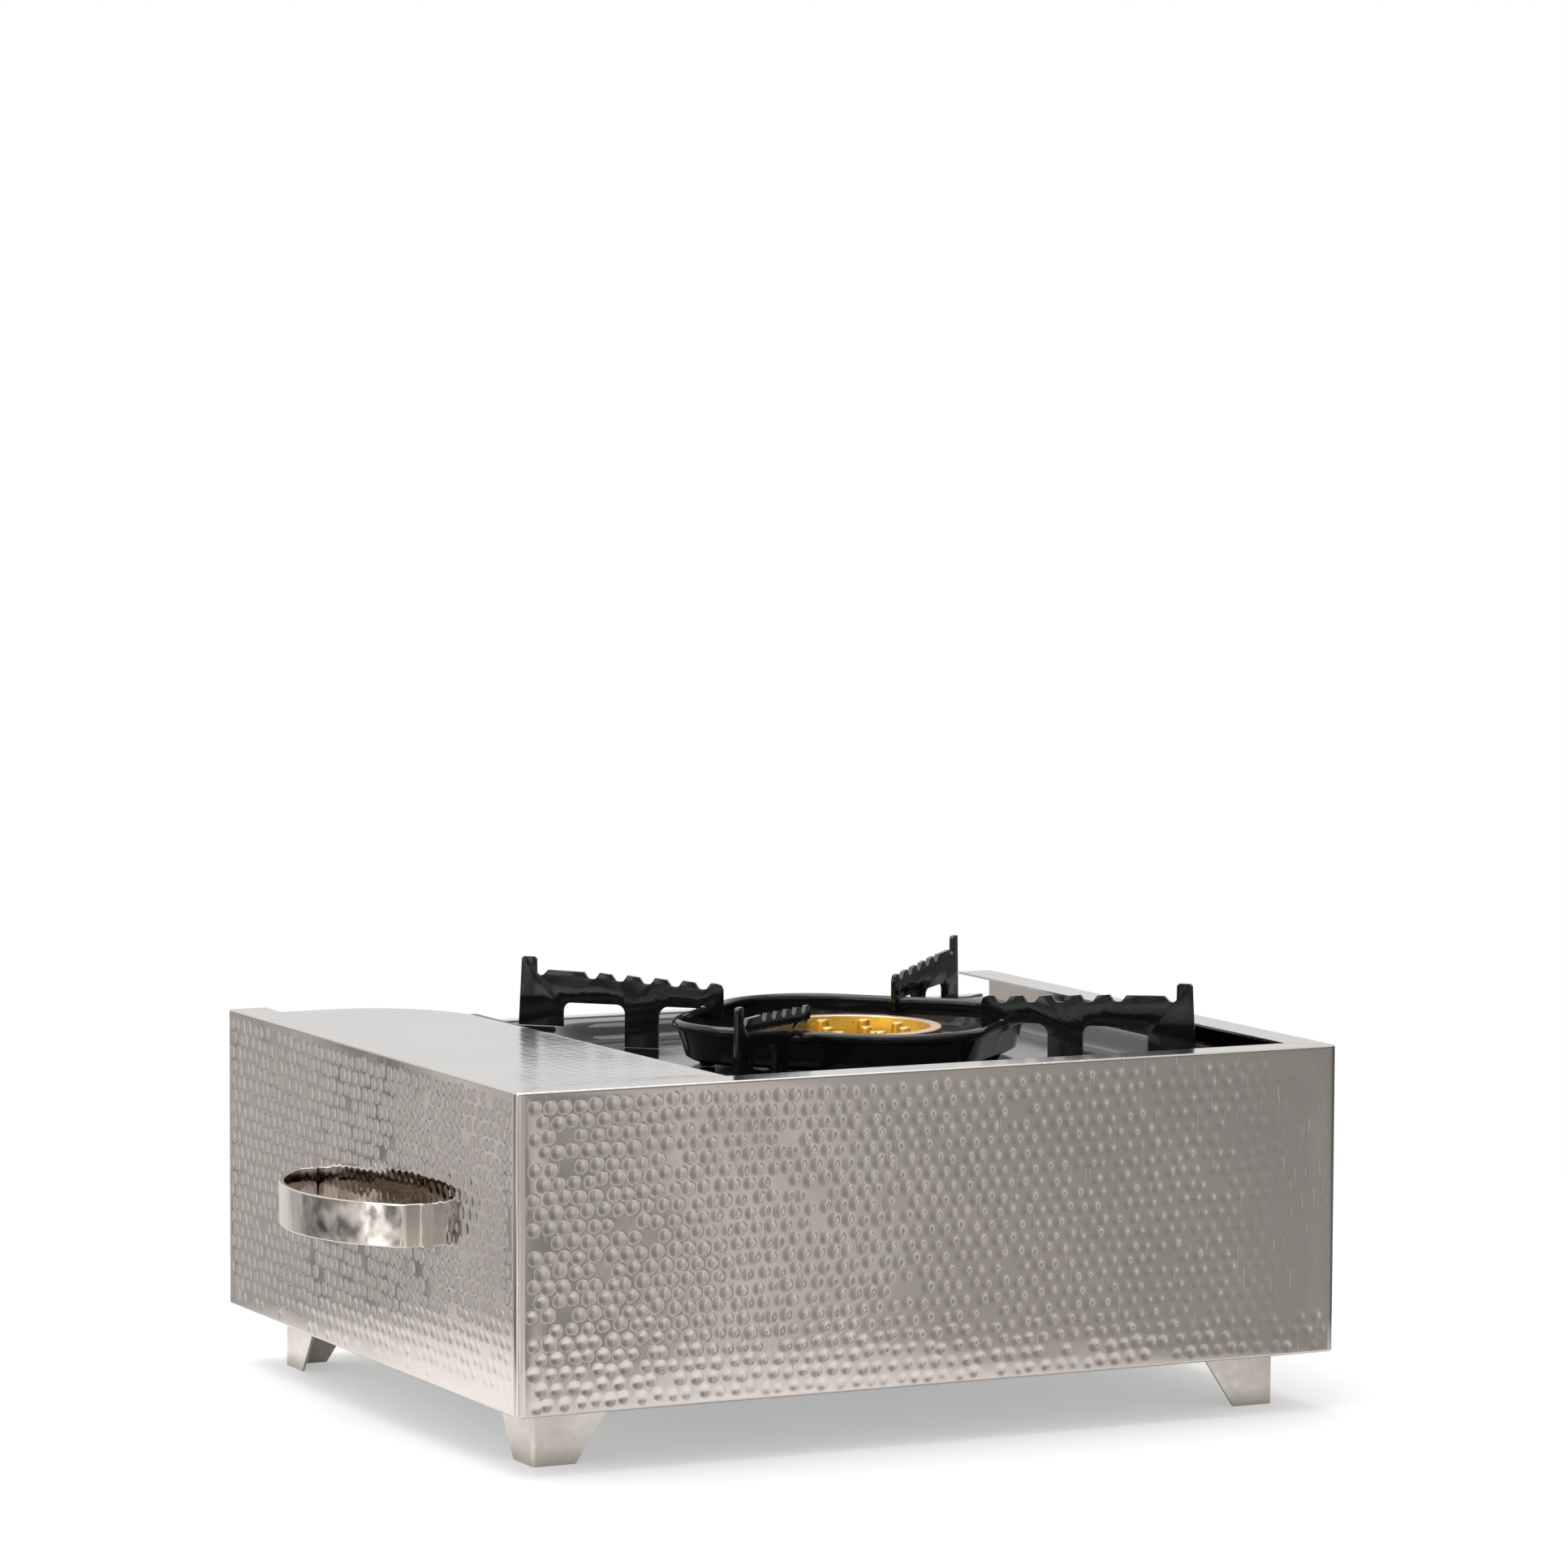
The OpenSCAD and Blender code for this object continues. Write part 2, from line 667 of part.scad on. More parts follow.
// upright plate standing on two legs, hooked over the rolled rim, seen as radius against height
module arm_profile() {
    w = 2.6;
    top = [for (i = [0:notch_count - 1]) let (r = notch_r + i * notch_pitch, z = notch_floor(r)) each
        [[r - w - 1.4, z + notch_depth], [r - w + 0.6, z + 0.4], [r, z], [r + w - 0.6, z + 0.4],
            [r + w + 1.4, z + notch_depth]]];
    step_r = prong_r - 9;
    flat_z = plate_z + 26.4;
    outer_z = plate_z + arm_gap;
    difference() {
        polygon(concat(
            [[arm_inner_r, notch_z], [arm_inner_r + 0.9, notch_z + 2.2], [arm_inner_r + 3, notch_z + 3]],
            top,
            [[step_r - 4, flat_z], [step_r - 1.6, flat_z - 2.4], [step_r + 0.4, flat_z - 2.8],
                [step_r + 1.9, flat_z - 1.5], [step_r + 2, plate_z + prong_rise - 1],
                [step_r + 3, plate_z + prong_rise], [prong_r - 1, plate_z + prong_rise],
                [prong_r, plate_z + prong_rise - 1], [prong_r + 1.5, outer_z],
                [140.7, outer_z], [140.7, arch_z - 4]],
            [for (a = [0:15:90]) [136.7 + 4 * cos(a), arch_z - 4 + 4 * sin(a)]],
            [for (a = [90:15:180]) [114 + 4 * cos(a), arch_z - 4 + 4 * sin(a)]],
            [[110, recess_z + arm_gap], [93.7, recess_z + arm_gap]],
            [for (a = [0:15:90]) [88.7 + 5 * cos(a), arch_z - 5 + 5 * sin(a)]],
            [[pan_half + 1, arch_z], [pan_half + 0.6, rim_z - 1], [rim_half - rim_r - 0.4, rim_z - 1],
                [rim_half - rim_r - 1, rim_z - 4], [arm_inner_r + 2, rim_z - 4], [arm_inner_r, rim_z - 2]]));
        translate([rim_half, rim_z]) circle(rim_r + arm_gap, $fn = 32);
        translate([rim_half - rim_r - arm_gap, rim_z - 4]) square([2 * (rim_r + arm_gap), 4]);
    }
}

module pan_support(angle) {
    color([0.04, 0.04, 0.04]) translate([burner_x, 0, 0]) rotate([0, 0, angle])
        translate([0, arm_t / 2, 0]) rotate([90, 0, 0]) linear_extrude(arm_t) arm_profile();
}

module pan_support_right() {
    pan_support(-45);
}

module pan_support_rear() {
    pan_support(45);
}

module pan_support_left() {
    pan_support(135);
}

module pan_support_front() {
    pan_support(225);
}

// ---- controls and cartridge ----

module control_knob() {
    color([0.1, 0.1, 0.1]) difference() {
        union() {
            rod_y(can_x, can_z, knob_y0, knob_y0 + 5, knob_r);
            rod_y(can_x, can_z, knob_y0 + 5, knob_y0 + 7, knob_r - 2);
            intersection() {
                rod_y(can_x, can_z, knob_y0, knob_y0 + knob_len, knob_r - 2);
                translate([can_x, knob_y0 + knob_len / 2, can_z])
                    cube([10, knob_len, 2 * knob_r], center = true);
            }
        }
        rod_y(can_x, can_z, knob_y0 - 1, knob_y0 + 12, spindle_r);
    }
}

module valve_spindle() {
    color("silver") rod_y(can_x, can_z, stove_y1 - 13, knob_y0 + 12, spindle_r);
}

module lock_lever() {
    color([0.1, 0.1, 0.1]) {
        box(lever_x - 6, lever_x + 6, stove_y1 - 4, stove_y1 - 1, lever_z - 10, lever_z + 10);
        box(lever_x - 2.5, lever_x + 2.5, stove_y1 - 2, fascia_y1 + 2, lever_z - 2.5, lever_z + 2.5);
        difference() {
            box(lever_x - 9, lever_x + 9, fascia_y1 + 2, fascia_y1 + 14, lever_z - 4, lever_z + 4);
            for (i = [-2:2]) translate([lever_x + 3 * i - 0.5, fascia_y1 + 13, lever_z - 5]) cube([1, 2, 10]);
        }
    }
}

module gas_cartridge() {
    color("seagreen") translate([can_x, 0, can_z]) rotate([-90, 0, 0]) rotate_extrude($fn = 96) polygon([
        [0, can_y0 + 4], [can_r - 6, can_y0], [can_r, can_y0], [can_r, can_y1 - 3], [can_r - 2, can_y1],
        [neck_r + 4, can_y1 + 4], [neck_r, can_y1 + 4], [neck_r, can_y1 + 10], [6, can_y1 + 10],
        [tip_r, can_y1 + 12], [tip_r, tip_y], [0, tip_y]]);
}

// trough that carries the cartridge and slides with the lock lever
module cartridge_cradle() {
    z_floor = body_z + skin + 0.4;
    color("gray") difference() {
        union() {
            intersection() {
                rod_y(can_x, can_z, can_y0 + 20, can_y1 - 12, can_r + 1.6);
                box(can_x - 20, can_x + 20, can_y0, can_y1, z_floor, can_z - 22);
            }
            for (x = [-14, 12]) box(can_x + x, can_x + x + 2, can_y0 + 20, can_y1 - 12, z_floor, can_z - 27);
        }
        rod_y(can_x, can_z, can_y0, can_y1, can_r + 0.1);
    }
}

casing_front_wall();
casing_left_wall();
casing_right_wall();
casing_top_panel();
casing_base();
foot_front_left();
foot_front_right();
foot_rear_left();
foot_rear_right();
handle_left();
handle_right();
shelf_rail_left();
shelf_rail_right();
stove_shelf();
stove_body();
stove_top_plate();
heat_shield();
cartridge_lid();
lid_hinge_rod();
control_fascia();
fascia_screws();
knob_dial_ring();
stove_feet();
regulator_body();
gas_jet();
mixing_tube();
piezo_igniter();
igniter_lead();
igniter_electrode();
burner_base();
burner_head();
burner_nozzles();
drip_pan();
pan_support_right();
pan_support_rear();
pan_support_left();
pan_support_front();
control_knob();
valve_spindle();
lock_lever();
gas_cartridge();
cartridge_cradle();
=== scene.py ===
"""Looks of a cartridge gas stove in a hammered steel casing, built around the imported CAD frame.

Shapes are worked out in millimetres and turned into metres when their mesh is made.
"""

import json
import math

import bmesh
import bpy
import numpy as np
from mathutils import Matrix, Vector


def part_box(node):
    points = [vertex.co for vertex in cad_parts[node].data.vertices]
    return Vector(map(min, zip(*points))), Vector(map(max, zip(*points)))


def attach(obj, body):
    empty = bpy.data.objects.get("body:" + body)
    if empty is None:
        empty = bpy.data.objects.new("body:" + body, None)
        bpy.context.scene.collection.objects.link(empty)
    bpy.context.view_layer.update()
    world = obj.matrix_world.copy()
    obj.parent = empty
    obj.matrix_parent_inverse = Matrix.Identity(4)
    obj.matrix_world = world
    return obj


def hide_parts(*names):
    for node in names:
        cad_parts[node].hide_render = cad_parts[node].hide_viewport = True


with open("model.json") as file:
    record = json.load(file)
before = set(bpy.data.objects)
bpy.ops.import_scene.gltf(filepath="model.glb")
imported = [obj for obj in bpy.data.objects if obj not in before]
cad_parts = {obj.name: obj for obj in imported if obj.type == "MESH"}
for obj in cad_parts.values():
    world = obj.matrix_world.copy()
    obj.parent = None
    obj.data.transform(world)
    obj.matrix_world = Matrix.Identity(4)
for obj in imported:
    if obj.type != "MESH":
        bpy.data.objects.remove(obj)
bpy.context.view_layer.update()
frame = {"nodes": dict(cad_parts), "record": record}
nodes = frame["nodes"]
record = frame["record"]

MM = 0.001
SLOT_OF = {row["node"]: row["material_slot"] for row in record["subparts"]}
BODY_OF = {node: body for body, members in record["behaviour"]["bodies"].items() for node in members}


def corners(node):
    """Lowest and highest corner of a CAD node, in millimetres."""
    low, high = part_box(node)
    return np.array(low) / MM, np.array(high) / MM


# ---- camera, first because everything is judged through it ----

VIEW_YAW, VIEW_PITCH, VIEW_ROLL = math.radians(-26.33), math.radians(-4.77), math.radians(0.25)
VIEW_PLACE = Vector((-1.294, -2.625, 0.519))
VIEW_LENS_MM, SENSOR_MM = 148.8, 36.0


def make_camera():
    forward = Vector((-math.sin(VIEW_YAW) * math.cos(VIEW_PITCH),
                      math.cos(VIEW_YAW) * math.cos(VIEW_PITCH), math.sin(VIEW_PITCH)))
    level = Vector((math.cos(VIEW_YAW), math.sin(VIEW_YAW), 0))
    above = level.cross(forward)
    right = level * math.cos(VIEW_ROLL) + above * math.sin(VIEW_ROLL)
    up = above * math.cos(VIEW_ROLL) - level * math.sin(VIEW_ROLL)
    data = bpy.data.cameras.new("camera")
    data.lens, data.sensor_width = VIEW_LENS_MM, SENSOR_MM
    data.clip_start, data.clip_end = 0.1, 60
    camera = bpy.data.objects.new("camera", data)
    turn = Matrix((right, up, -forward)).transposed().to_4x4()
    camera.matrix_world = Matrix.Translation(VIEW_PLACE) @ turn
    bpy.context.scene.collection.objects.link(camera)
    bpy.context.scene.camera = camera


make_camera()

# ---- materials ----


def put(tree, kind, **values):
    """A new node with its own properties and unlinked inputs set by name."""
    node = tree.nodes.new(kind)
    for key, value in values.items():
        if hasattr(node, key):
            setattr(node, key, value)
        else:
            node.inputs[key.replace("_", " ")].default_value = value
    return node


def noise(tree, where, scale, detail=4.0, rough=0.55):
    node = put(tree, "ShaderNodeTexNoise", Scale=scale, Detail=detail, Roughness=rough)
    tree.links.new(where, node.inputs["Vector"])
    return node.outputs["Fac"]


def ranged(tree, value, low, high, to_low, to_high):
    node = put(tree, "ShaderNodeMapRange", clamp=True)
    tree.links.new(value, node.inputs["Value"])
    for name, number in (("From Min", low), ("From Max", high), ("To Min", to_low), ("To Max", to_high)):
        node.inputs[name].default_value = number
    return node.outputs["Result"]


def maths(tree, operation, *values):
    node = put(tree, "ShaderNodeMath", operation=operation)
    for socket, value in zip(node.inputs, values):
        if isinstance(value, (int, float)):
            socket.default_value = value
        else:
            tree.links.new(value, socket)
    return node.outputs[0]


def mixed(tree, share, first, second):
    """Mix of two colours, each a socket or a tuple."""
    node = put(tree, "ShaderNodeMix", data_type="RGBA")
    tree.links.new(share, node.inputs["Factor"])
    for socket, colour in ((node.inputs[6], first), (node.inputs[7], second)):
        if isinstance(colour, tuple):
            socket.default_value = (*colour, 1)
        else:
            tree.links.new(colour, socket)
    return node.outputs[2]


def finish(name, light, dark, rough, mottle, grain, relief, stretch=(1, 1, 1), wear=None, specks=None,
           scratches=None, **sockets):
    """A procedural surface: mottled colour, uneven roughness, grain as relief, worn edges, specks."""
    mat = bpy.data.materials.new(name)
    mat.use_nodes = True
    tree = mat.node_tree
    shader = tree.nodes["Principled BSDF"]
    place = put(tree, "ShaderNodeTexCoord").outputs["Object"]
    blotch = noise(tree, place, mottle, 5.0, 0.6)
    colour = mixed(tree, ranged(tree, blotch, 0.32, 0.68, 0, 1), light, dark)
    if specks:
        spot = noise(tree, place, specks[1], 2.0, 0.5)
        colour = mixed(tree, ranged(tree, spot, specks[2], specks[2] + 0.04, 0, 0.8), colour, specks[0])
    if wear:
        point = put(tree, "ShaderNodeNewGeometry").outputs["Pointiness"]
        colour = mixed(tree, ranged(tree, point, 0.53, 0.60, 0, 0.75), colour, wear)
    tree.links.new(colour, shader.inputs["Base Color"])
    patch = noise(tree, place, mottle * 3.1, 3.0, 0.7)
    tree.links.new(ranged(tree, patch, 0.3, 0.7, *rough), shader.inputs["Roughness"])
    mapping = put(tree, "ShaderNodeMapping")
    mapping.inputs["Scale"].default_value = stretch
    tree.links.new(place, mapping.inputs["Vector"])
    height = noise(tree, mapping.outputs["Vector"], grain, 3.0, 0.6)
    bump = put(tree, "ShaderNodeBump", Strength=0.8, Distance=relief)
    tree.links.new(height, bump.inputs["Height"])
    if scratches:
        thin = put(tree, "ShaderNodeMapping")
        thin.inputs["Scale"].default_value = scratches[0]
        tree.links.new(place, thin.inputs["Vector"])
        line = noise(tree, thin.outputs["Vector"], scratches[1], 1.0, 0.4)
        scored = put(tree, "ShaderNodeBump", Strength=0.7, Distance=scratches[2], invert=True)
        tree.links.new(ranged(tree, line, 0.70, 0.78, 0, 1), scored.inputs["Height"])
        tree.links.new(bump.outputs["Normal"], scored.inputs["Normal"])
        bump = scored
    tree.links.new(bump.outputs["Normal"], shader.inputs["Normal"])
    for key, value in sockets.items():
        shader.inputs[key.replace("_", " ")].default_value = value
    return mat


LOOKS = {
    "hammered_steel": finish(
        "hammered_steel", (0.64, 0.585, 0.55), (0.60, 0.545, 0.51), (0.03, 0.07), 14, 900, 0.000003,
        specks=((0.82, 0.80, 0.77), 420, 0.735), scratches=((1, 1, 0.12), 700, 0.00004), Metallic=1.0),
    "satin_steel": finish(
        "satin_steel", (0.70, 0.695, 0.69), (0.66, 0.655, 0.648), (0.13, 0.19), 9, 420, 0.00010,
        stretch=(0.05, 1, 1), Metallic=1.0),
    "polished_steel": finish(
        "polished_steel", (0.72, 0.67, 0.62), (0.64, 0.59, 0.54), (0.05, 0.12), 60, 500, 0.00002,
        wear=(0.80, 0.78, 0.75), Metallic=1.0),
    "plain_steel": finish(
        "plain_steel", (0.68, 0.63, 0.57), (0.57, 0.52, 0.46), (0.26, 0.40), 55, 1600, 0.00003,
        stretch=(1, 1, 0.25), wear=(0.78, 0.75, 0.70), Metallic=1.0),
    "black_enamel": finish(
        "black_enamel", (0.0065, 0.0063, 0.0066), (0.0115, 0.011, 0.0112), (0.05, 0.11), 45, 260, 0.00005,
        specks=((0.05, 0.048, 0.045), 900, 0.745), Metallic=0.0, Specular_IOR_Level=0.4),
    "black_paint": finish(
        "black_paint", (0.018, 0.018, 0.019), (0.030, 0.030, 0.031), (0.30, 0.42), 40, 1800, 0.00004,
        wear=(0.09, 0.088, 0.085), Metallic=0.0),
    "fascia_grey": finish(
        "fascia_grey", (0.40, 0.405, 0.41), (0.33, 0.335, 0.34), (0.30, 0.42), 60, 2200, 0.00003,
        wear=(0.62, 0.62, 0.61), Metallic=0.0, Coat_Weight=0.25, Coat_Roughness=0.2),
    "screw_steel": finish(
        "screw_steel", (0.55, 0.54, 0.52), (0.42, 0.41, 0.39), (0.22, 0.36), 300, 3000, 0.00003,
        wear=(0.75, 0.74, 0.72), Metallic=1.0),
    "dial_silver": finish(
        "dial_silver", (0.74, 0.74, 0.73), (0.66, 0.66, 0.65), (0.24, 0.34), 120, 2500, 0.00002,
        stretch=(1, 1, 0.08), Metallic=1.0),
    "rubber": finish(
        "rubber", (0.022, 0.022, 0.022), (0.036, 0.035, 0.034), (0.62, 0.8), 150, 2600, 0.00008,
        Metallic=0.0),
    "brass": finish(
        "brass", (0.75, 0.55, 0.26), (0.60, 0.42, 0.18), (0.2, 0.34), 110, 2600, 0.00003,
        wear=(0.86, 0.68, 0.38), Metallic=1.0),
    "ivory_plastic": finish(
        "ivory_plastic", (0.72, 0.69, 0.60), (0.66, 0.62, 0.53), (0.34, 0.46), 100, 2400, 0.00003,
        Metallic=0.0),
    "red_insulation": finish(
        "red_insulation", (0.36, 0.03, 0.02), (0.27, 0.022, 0.016), (0.42, 0.55), 160, 2200, 0.00004,
        Metallic=0.0),
    "ceramic": finish(
        "ceramic", (0.80, 0.78, 0.73), (0.70, 0.68, 0.63), (0.30, 0.48), 180, 2600, 0.00004,
        Metallic=0.0),
    "burner_casting": finish(
        "burner_casting", (0.30, 0.295, 0.285), (0.20, 0.195, 0.19), (0.45, 0.62), 130, 1400, 0.00022,
        wear=(0.45, 0.44, 0.42), Metallic=0.8),
    "gold_casting": finish(
        "gold_casting", (0.78, 0.47, 0.065), (0.66, 0.36, 0.04), (0.26, 0.40), 160, 1100, 0.00022,
        specks=((0.10, 0.06, 0.02), 500, 0.74), wear=(0.95, 0.74, 0.36), Metallic=1.0),
    "machined_gold": finish(
        "machined_gold", (0.70, 0.51, 0.36), (0.62, 0.44, 0.30), (0.30, 0.42), 170, 2400, 0.00004,
        wear=(0.92, 0.80, 0.62), Metallic=1.0),
    "knob_plastic": finish(
        "knob_plastic", (0.020, 0.020, 0.021), (0.032, 0.032, 0.033), (0.34, 0.48), 90, 2600, 0.00006,
        wear=(0.07, 0.07, 0.07), Metallic=0.0),
    "cartridge_paint": finish(
        "cartridge_paint", (0.55, 0.56, 0.58), (0.50, 0.51, 0.53), (0.2, 0.32), 50, 1800, 0.00002,
        wear=(0.72, 0.72, 0.72), Metallic=0.35, Coat_Weight=0.4),
    "dial_ink": finish(
        "dial_ink", (0.025, 0.025, 0.027), (0.05, 0.05, 0.05), (0.4, 0.55), 200, 2500, 0.00001,
        Metallic=0.0),
}

# ---- mesh tools ----


class Shape:
    """Closed solids gathered into one mesh, in millimetres."""

    def __init__(self):
        self.verts, self.faces, self.marks = [], [], []

    def add(self, solid, mark=0):
        verts, faces = solid
        start = len(self.verts)
        self.verts.extend(np.asarray(verts, float).tolist())
        self.faces.extend([start + i for i in face] for face in faces)
        self.marks.extend([mark] * len(faces))
        return self


def rings_solid(rings, around=False, loop=True):
    """Faces between rings of points. around joins the last ring to the first, instead of two end caps."""
    rings = [np.asarray(ring, float) for ring in rings]
    n, count = len(rings[0]), len(rings)
    faces = []
    for i in range(count if around else count - 1):
        a, b = i * n, (i + 1) % count * n
        for k in range(n if loop else n - 1):
            m = (k + 1) % n
            faces.append([a + k, a + m, b + m, b + k])
    if loop and not around:
        faces.append(list(range(n)))
        faces.append([(count - 1) * n + k for k in range(n)])
    return np.concatenate(rings), faces


def prism(outline, low, high):
    flat = np.asarray(outline, float)
    return rings_solid([np.column_stack([flat, np.full(len(flat), z)]) for z in (low, high)])


def turned(profile, centre, segments, start=0.0, sweep=360.0, wave=None):
    """Solid of revolution about a vertical axis. profile is a closed outline of (radius, height)."""
    whole = sweep >= 360
    steps = segments if whole else segments + 1
    rings = []
    for i in range(steps):
        angle = math.radians(start + sweep * i / segments)
        radius = np.array([r for r, z in profile]) * (wave(angle) if wave else 1)
        rings.append(np.column_stack([centre[0] + radius * math.cos(angle),
                                      centre[1] + radius * math.sin(angle), [z for r, z in profile]]))
    return rings_solid(rings, around=whole)


def laid_along_y(solid, x, z):
    """Turns a solid made about the vertical axis so that its axis runs along +Y through (x, z)."""
    verts, faces = solid
    return np.column_stack([verts[:, 0] + x, verts[:, 2], z - verts[:, 1]]), faces


def arc(centre, radius, start, end, steps):
    """Points (across, height) on an arc, in degrees."""
    return [(centre[0] + radius * math.cos(math.radians(a)), centre[1] + radius * math.sin(math.radians(a)))
            for a in np.linspace(start, end, steps)]


def rounded_loop(x0, y0, x1, y1, r, corner=18, straight=10):
    """Outline with round corners. Every such loop has the same number of points in the same order."""
    middles = [((x1 - r, y1 - r), 0), ((x0 + r, y1 - r), 90),
               ((x0 + r, y0 + r), 180), ((x1 - r, y0 + r), 270)]
    points = []
    for i, (middle, angle) in enumerate(middles):
        bend = arc(middle, r, angle, angle + 90, corner)
        points += bend
        next_middle, next_angle = middles[(i + 1) % 4]
        start, end = np.array(bend[-1]), np.array(arc(next_middle, r, next_angle, next_angle, 1)[0])
        points += [tuple(start + (end - start) * k / straight) for k in range(1, straight)]
    return np.array(points)


def piece(name, shape, look, body, replaced=(), crease=32, looks=()):
    """Makes the visible object of a shape, riding on its body and standing for CAD nodes."""
    mesh = bpy.data.meshes.new(name)
    mesh.from_pydata((np.asarray(shape.verts) * MM).tolist(), [], shape.faces)
    mesh.polygons.foreach_set("material_index", shape.marks)
    work = bmesh.new()
    work.from_mesh(mesh)
    bmesh.ops.remove_doubles(work, verts=work.verts, dist=1e-7)
    bmesh.ops.recalc_face_normals(work, faces=work.faces)
    work.to_mesh(mesh)
    work.free()
    return shown(name, mesh, [look, *looks], body, replaced, crease)


def shown(name, mesh, looks, body, replaced, crease):
    for polygon in mesh.polygons:
        polygon.use_smooth = True
    mesh.set_sharp_from_angle(angle=math.radians(crease))
    obj = bpy.data.objects.new(name, mesh)
    bpy.context.scene.collection.objects.link(obj)
    marks = np.zeros(len(mesh.polygons), dtype=np.int32)
    mesh.polygons.foreach_get("material_index", marks)
    mesh.materials.clear()
    for look in looks:
        mesh.materials.append(LOOKS[look])
    mesh.polygons.foreach_set("material_index", np.minimum(marks, len(looks) - 1))
    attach(obj, body)
    if replaced:
        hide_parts(*replaced)
    return obj


def refined(name, node, bevel, look=None, segments=3, crease=30, flat=1.0):
    """A finer copy of a CAD node, its edges rounded by bevel millimetres."""
    mesh = nodes[node].data.copy()
    mesh.name = name
    work = bmesh.new()
    work.from_mesh(mesh)
    bmesh.ops.remove_doubles(work, verts=work.verts, dist=1e-6)
    bmesh.ops.dissolve_limit(work, angle_limit=math.radians(flat), verts=work.verts, edges=work.edges)
    sharp = [e for e in work.edges if len(e.link_faces) == 2 and e.calc_face_angle(0) > math.radians(crease)]
    bmesh.ops.bevel(work, geom=sharp, offset=bevel * MM, segments=segments, profile=0.5,
                    affect="EDGES", clamp_overlap=True)
    bmesh.ops.recalc_face_normals(work, faces=work.faces)
    work.to_mesh(mesh)
    work.free()
    look = look or SLOT_OF[node]
    return shown(name, mesh, [look], BODY_OF[node], [node], 40)


# ---- hammered casing ----

wall_low, wall_high = corners("casing_right_wall")
front_low, front_high = corners("casing_front_wall")
X_OUT, Y_OUT = wall_high[0], -front_low[1]
WALL_LOW, WALL_TOP = wall_low[2], wall_high[2]
SHEET = 1.0
CORNER_R, BEND_R = 3.8, 1.1
FRONT_FLANGE, SIDE_FLANGE, HEM = 16.0, 18.0, 8.0
GRID = 0.78
MARK_ROW, MARK_STEP = 6.3, 7.2


def soft_step(value):
    value = np.clip(value, 0, 1)
    return value * value * (3 - 2 * value)


def hammer_marks(length, height, seed, strength, skip):
    """Depth of staggered hammer marks and of slow waves, on a grid over a wall, in millimetres."""
    rng = np.random.default_rng(seed)
    nu, nv = int(length / GRID) + 1, int(height / GRID) + 1
    u, v = np.linspace(0, length, nu), np.linspace(0, height, nv)
    depth = np.zeros((nu, nv))
    for k, row in enumerate(np.arange(3.6, height - 2.6, MARK_ROW)):
        for along in np.arange(4 + MARK_STEP / 2 * (k % 2), length - 3, MARK_STEP):
            cu = along + rng.normal(0, 0.65)
            cv = row + rng.normal(0, 0.42) + 0.7 * math.sin(along / 41 + k * 0.35)
            r, tall = rng.uniform(2.3, 3.1), rng.uniform(0.92, 1.15)
            deep = rng.uniform(0.08, 0.17) * strength(cu / length, cv / height)
            if rng.random() < skip(cu / length, cv / height):
                continue
            i0, i1 = np.searchsorted(u, (cu - r, cu + r))
            j0, j1 = np.searchsorted(v, (cv - r * tall, cv + r * tall))
            away = ((u[i0:i1, None] - cu) / r) ** 2 + ((v[None, j0:j1] - cv) / (r * tall)) ** 2
            depth[i0:i1, j0:j1] = np.maximum(depth[i0:i1, j0:j1], deep * np.clip(1 - away, 0, 1) ** 1.5)
    waves = np.zeros((nu, nv))
    for size, tall_size, high in ((150, 90, 0.035), (95, 140, 0.03), (52, 47, 0.010), (31, 38, 0.005)):
        a, b, turn = rng.uniform(0, 6.3, 2).tolist() + [rng.uniform(-0.5, 0.5)]
        uu, vv = u[:, None] + turn * v[None, :], v[None, :] - turn * u[:, None]
        waves += high * (1 + np.sin(6.283 * uu / size + a) * np.sin(6.283 * vv / tall_size + b))
    rim = np.minimum(np.minimum(u, length - u)[:, None], np.minimum(v, height - v)[None, :])
    return depth * soft_step(rim / 1.4) + waves * soft_step(rim / 12)


def hammered_slab(place, u0, u1, z0, z1, depth, back):
    """Closed slab whose outer face carries the hammer marks. place maps (along, inward, height) to XYZ."""
    nu, nv = depth.shape
    uu, vv = np.meshgrid(np.linspace(u0, u1, nu), np.linspace(z0, z1, nv), indexing="ij")
    outer = place(uu.ravel(), depth.ravel(), vv.ravel())
    behind = place(np.array([u0, u1, u1, u0]), np.full(4, back), np.array([z0, z0, z1, z1]))
    i, j = np.meshgrid(np.arange(nu - 1), np.arange(nv - 1), indexing="ij")
    a = (i * nv + j).ravel()
    faces = np.column_stack([a, a + nv, a + nv + 1, a + 1]).tolist()
    n = nu * nv
    b00, b10, b11, b01 = n, n + 1, n + 2, n + 3
    faces.append([b00, b01, b11, b10])
    faces.append([k * nv for k in range(nu)] + [b10, b00])
    faces.append([k * nv + nv - 1 for k in range(nu)] + [b11, b01])
    faces.append(list(range(nv)) + [b01, b00])
    faces.append([(nu - 1) * nv + k for k in range(nv)] + [b11, b10])
    return np.concatenate([outer, behind]), faces


def bent_edge(place, u0, u1, level, way, reach):
    """Rounded edge of a wall, from its face to reach inwards. way is 1 at the top and -1 at the hem."""
    outer = arc((BEND_R, 0), BEND_R, 180, 90, 7)
    inner = arc((BEND_R, 0), BEND_R - SHEET, 90, 180, 4)
    section = outer + [(reach, BEND_R), (reach, BEND_R - SHEET)] + inner
    across = np.array([p[0] for p in section])
    height = level - way * BEND_R + way * np.array([p[1] for p in section])
    return rings_solid([place(np.full(len(section), u), across, height) for u in (u0, u1)])


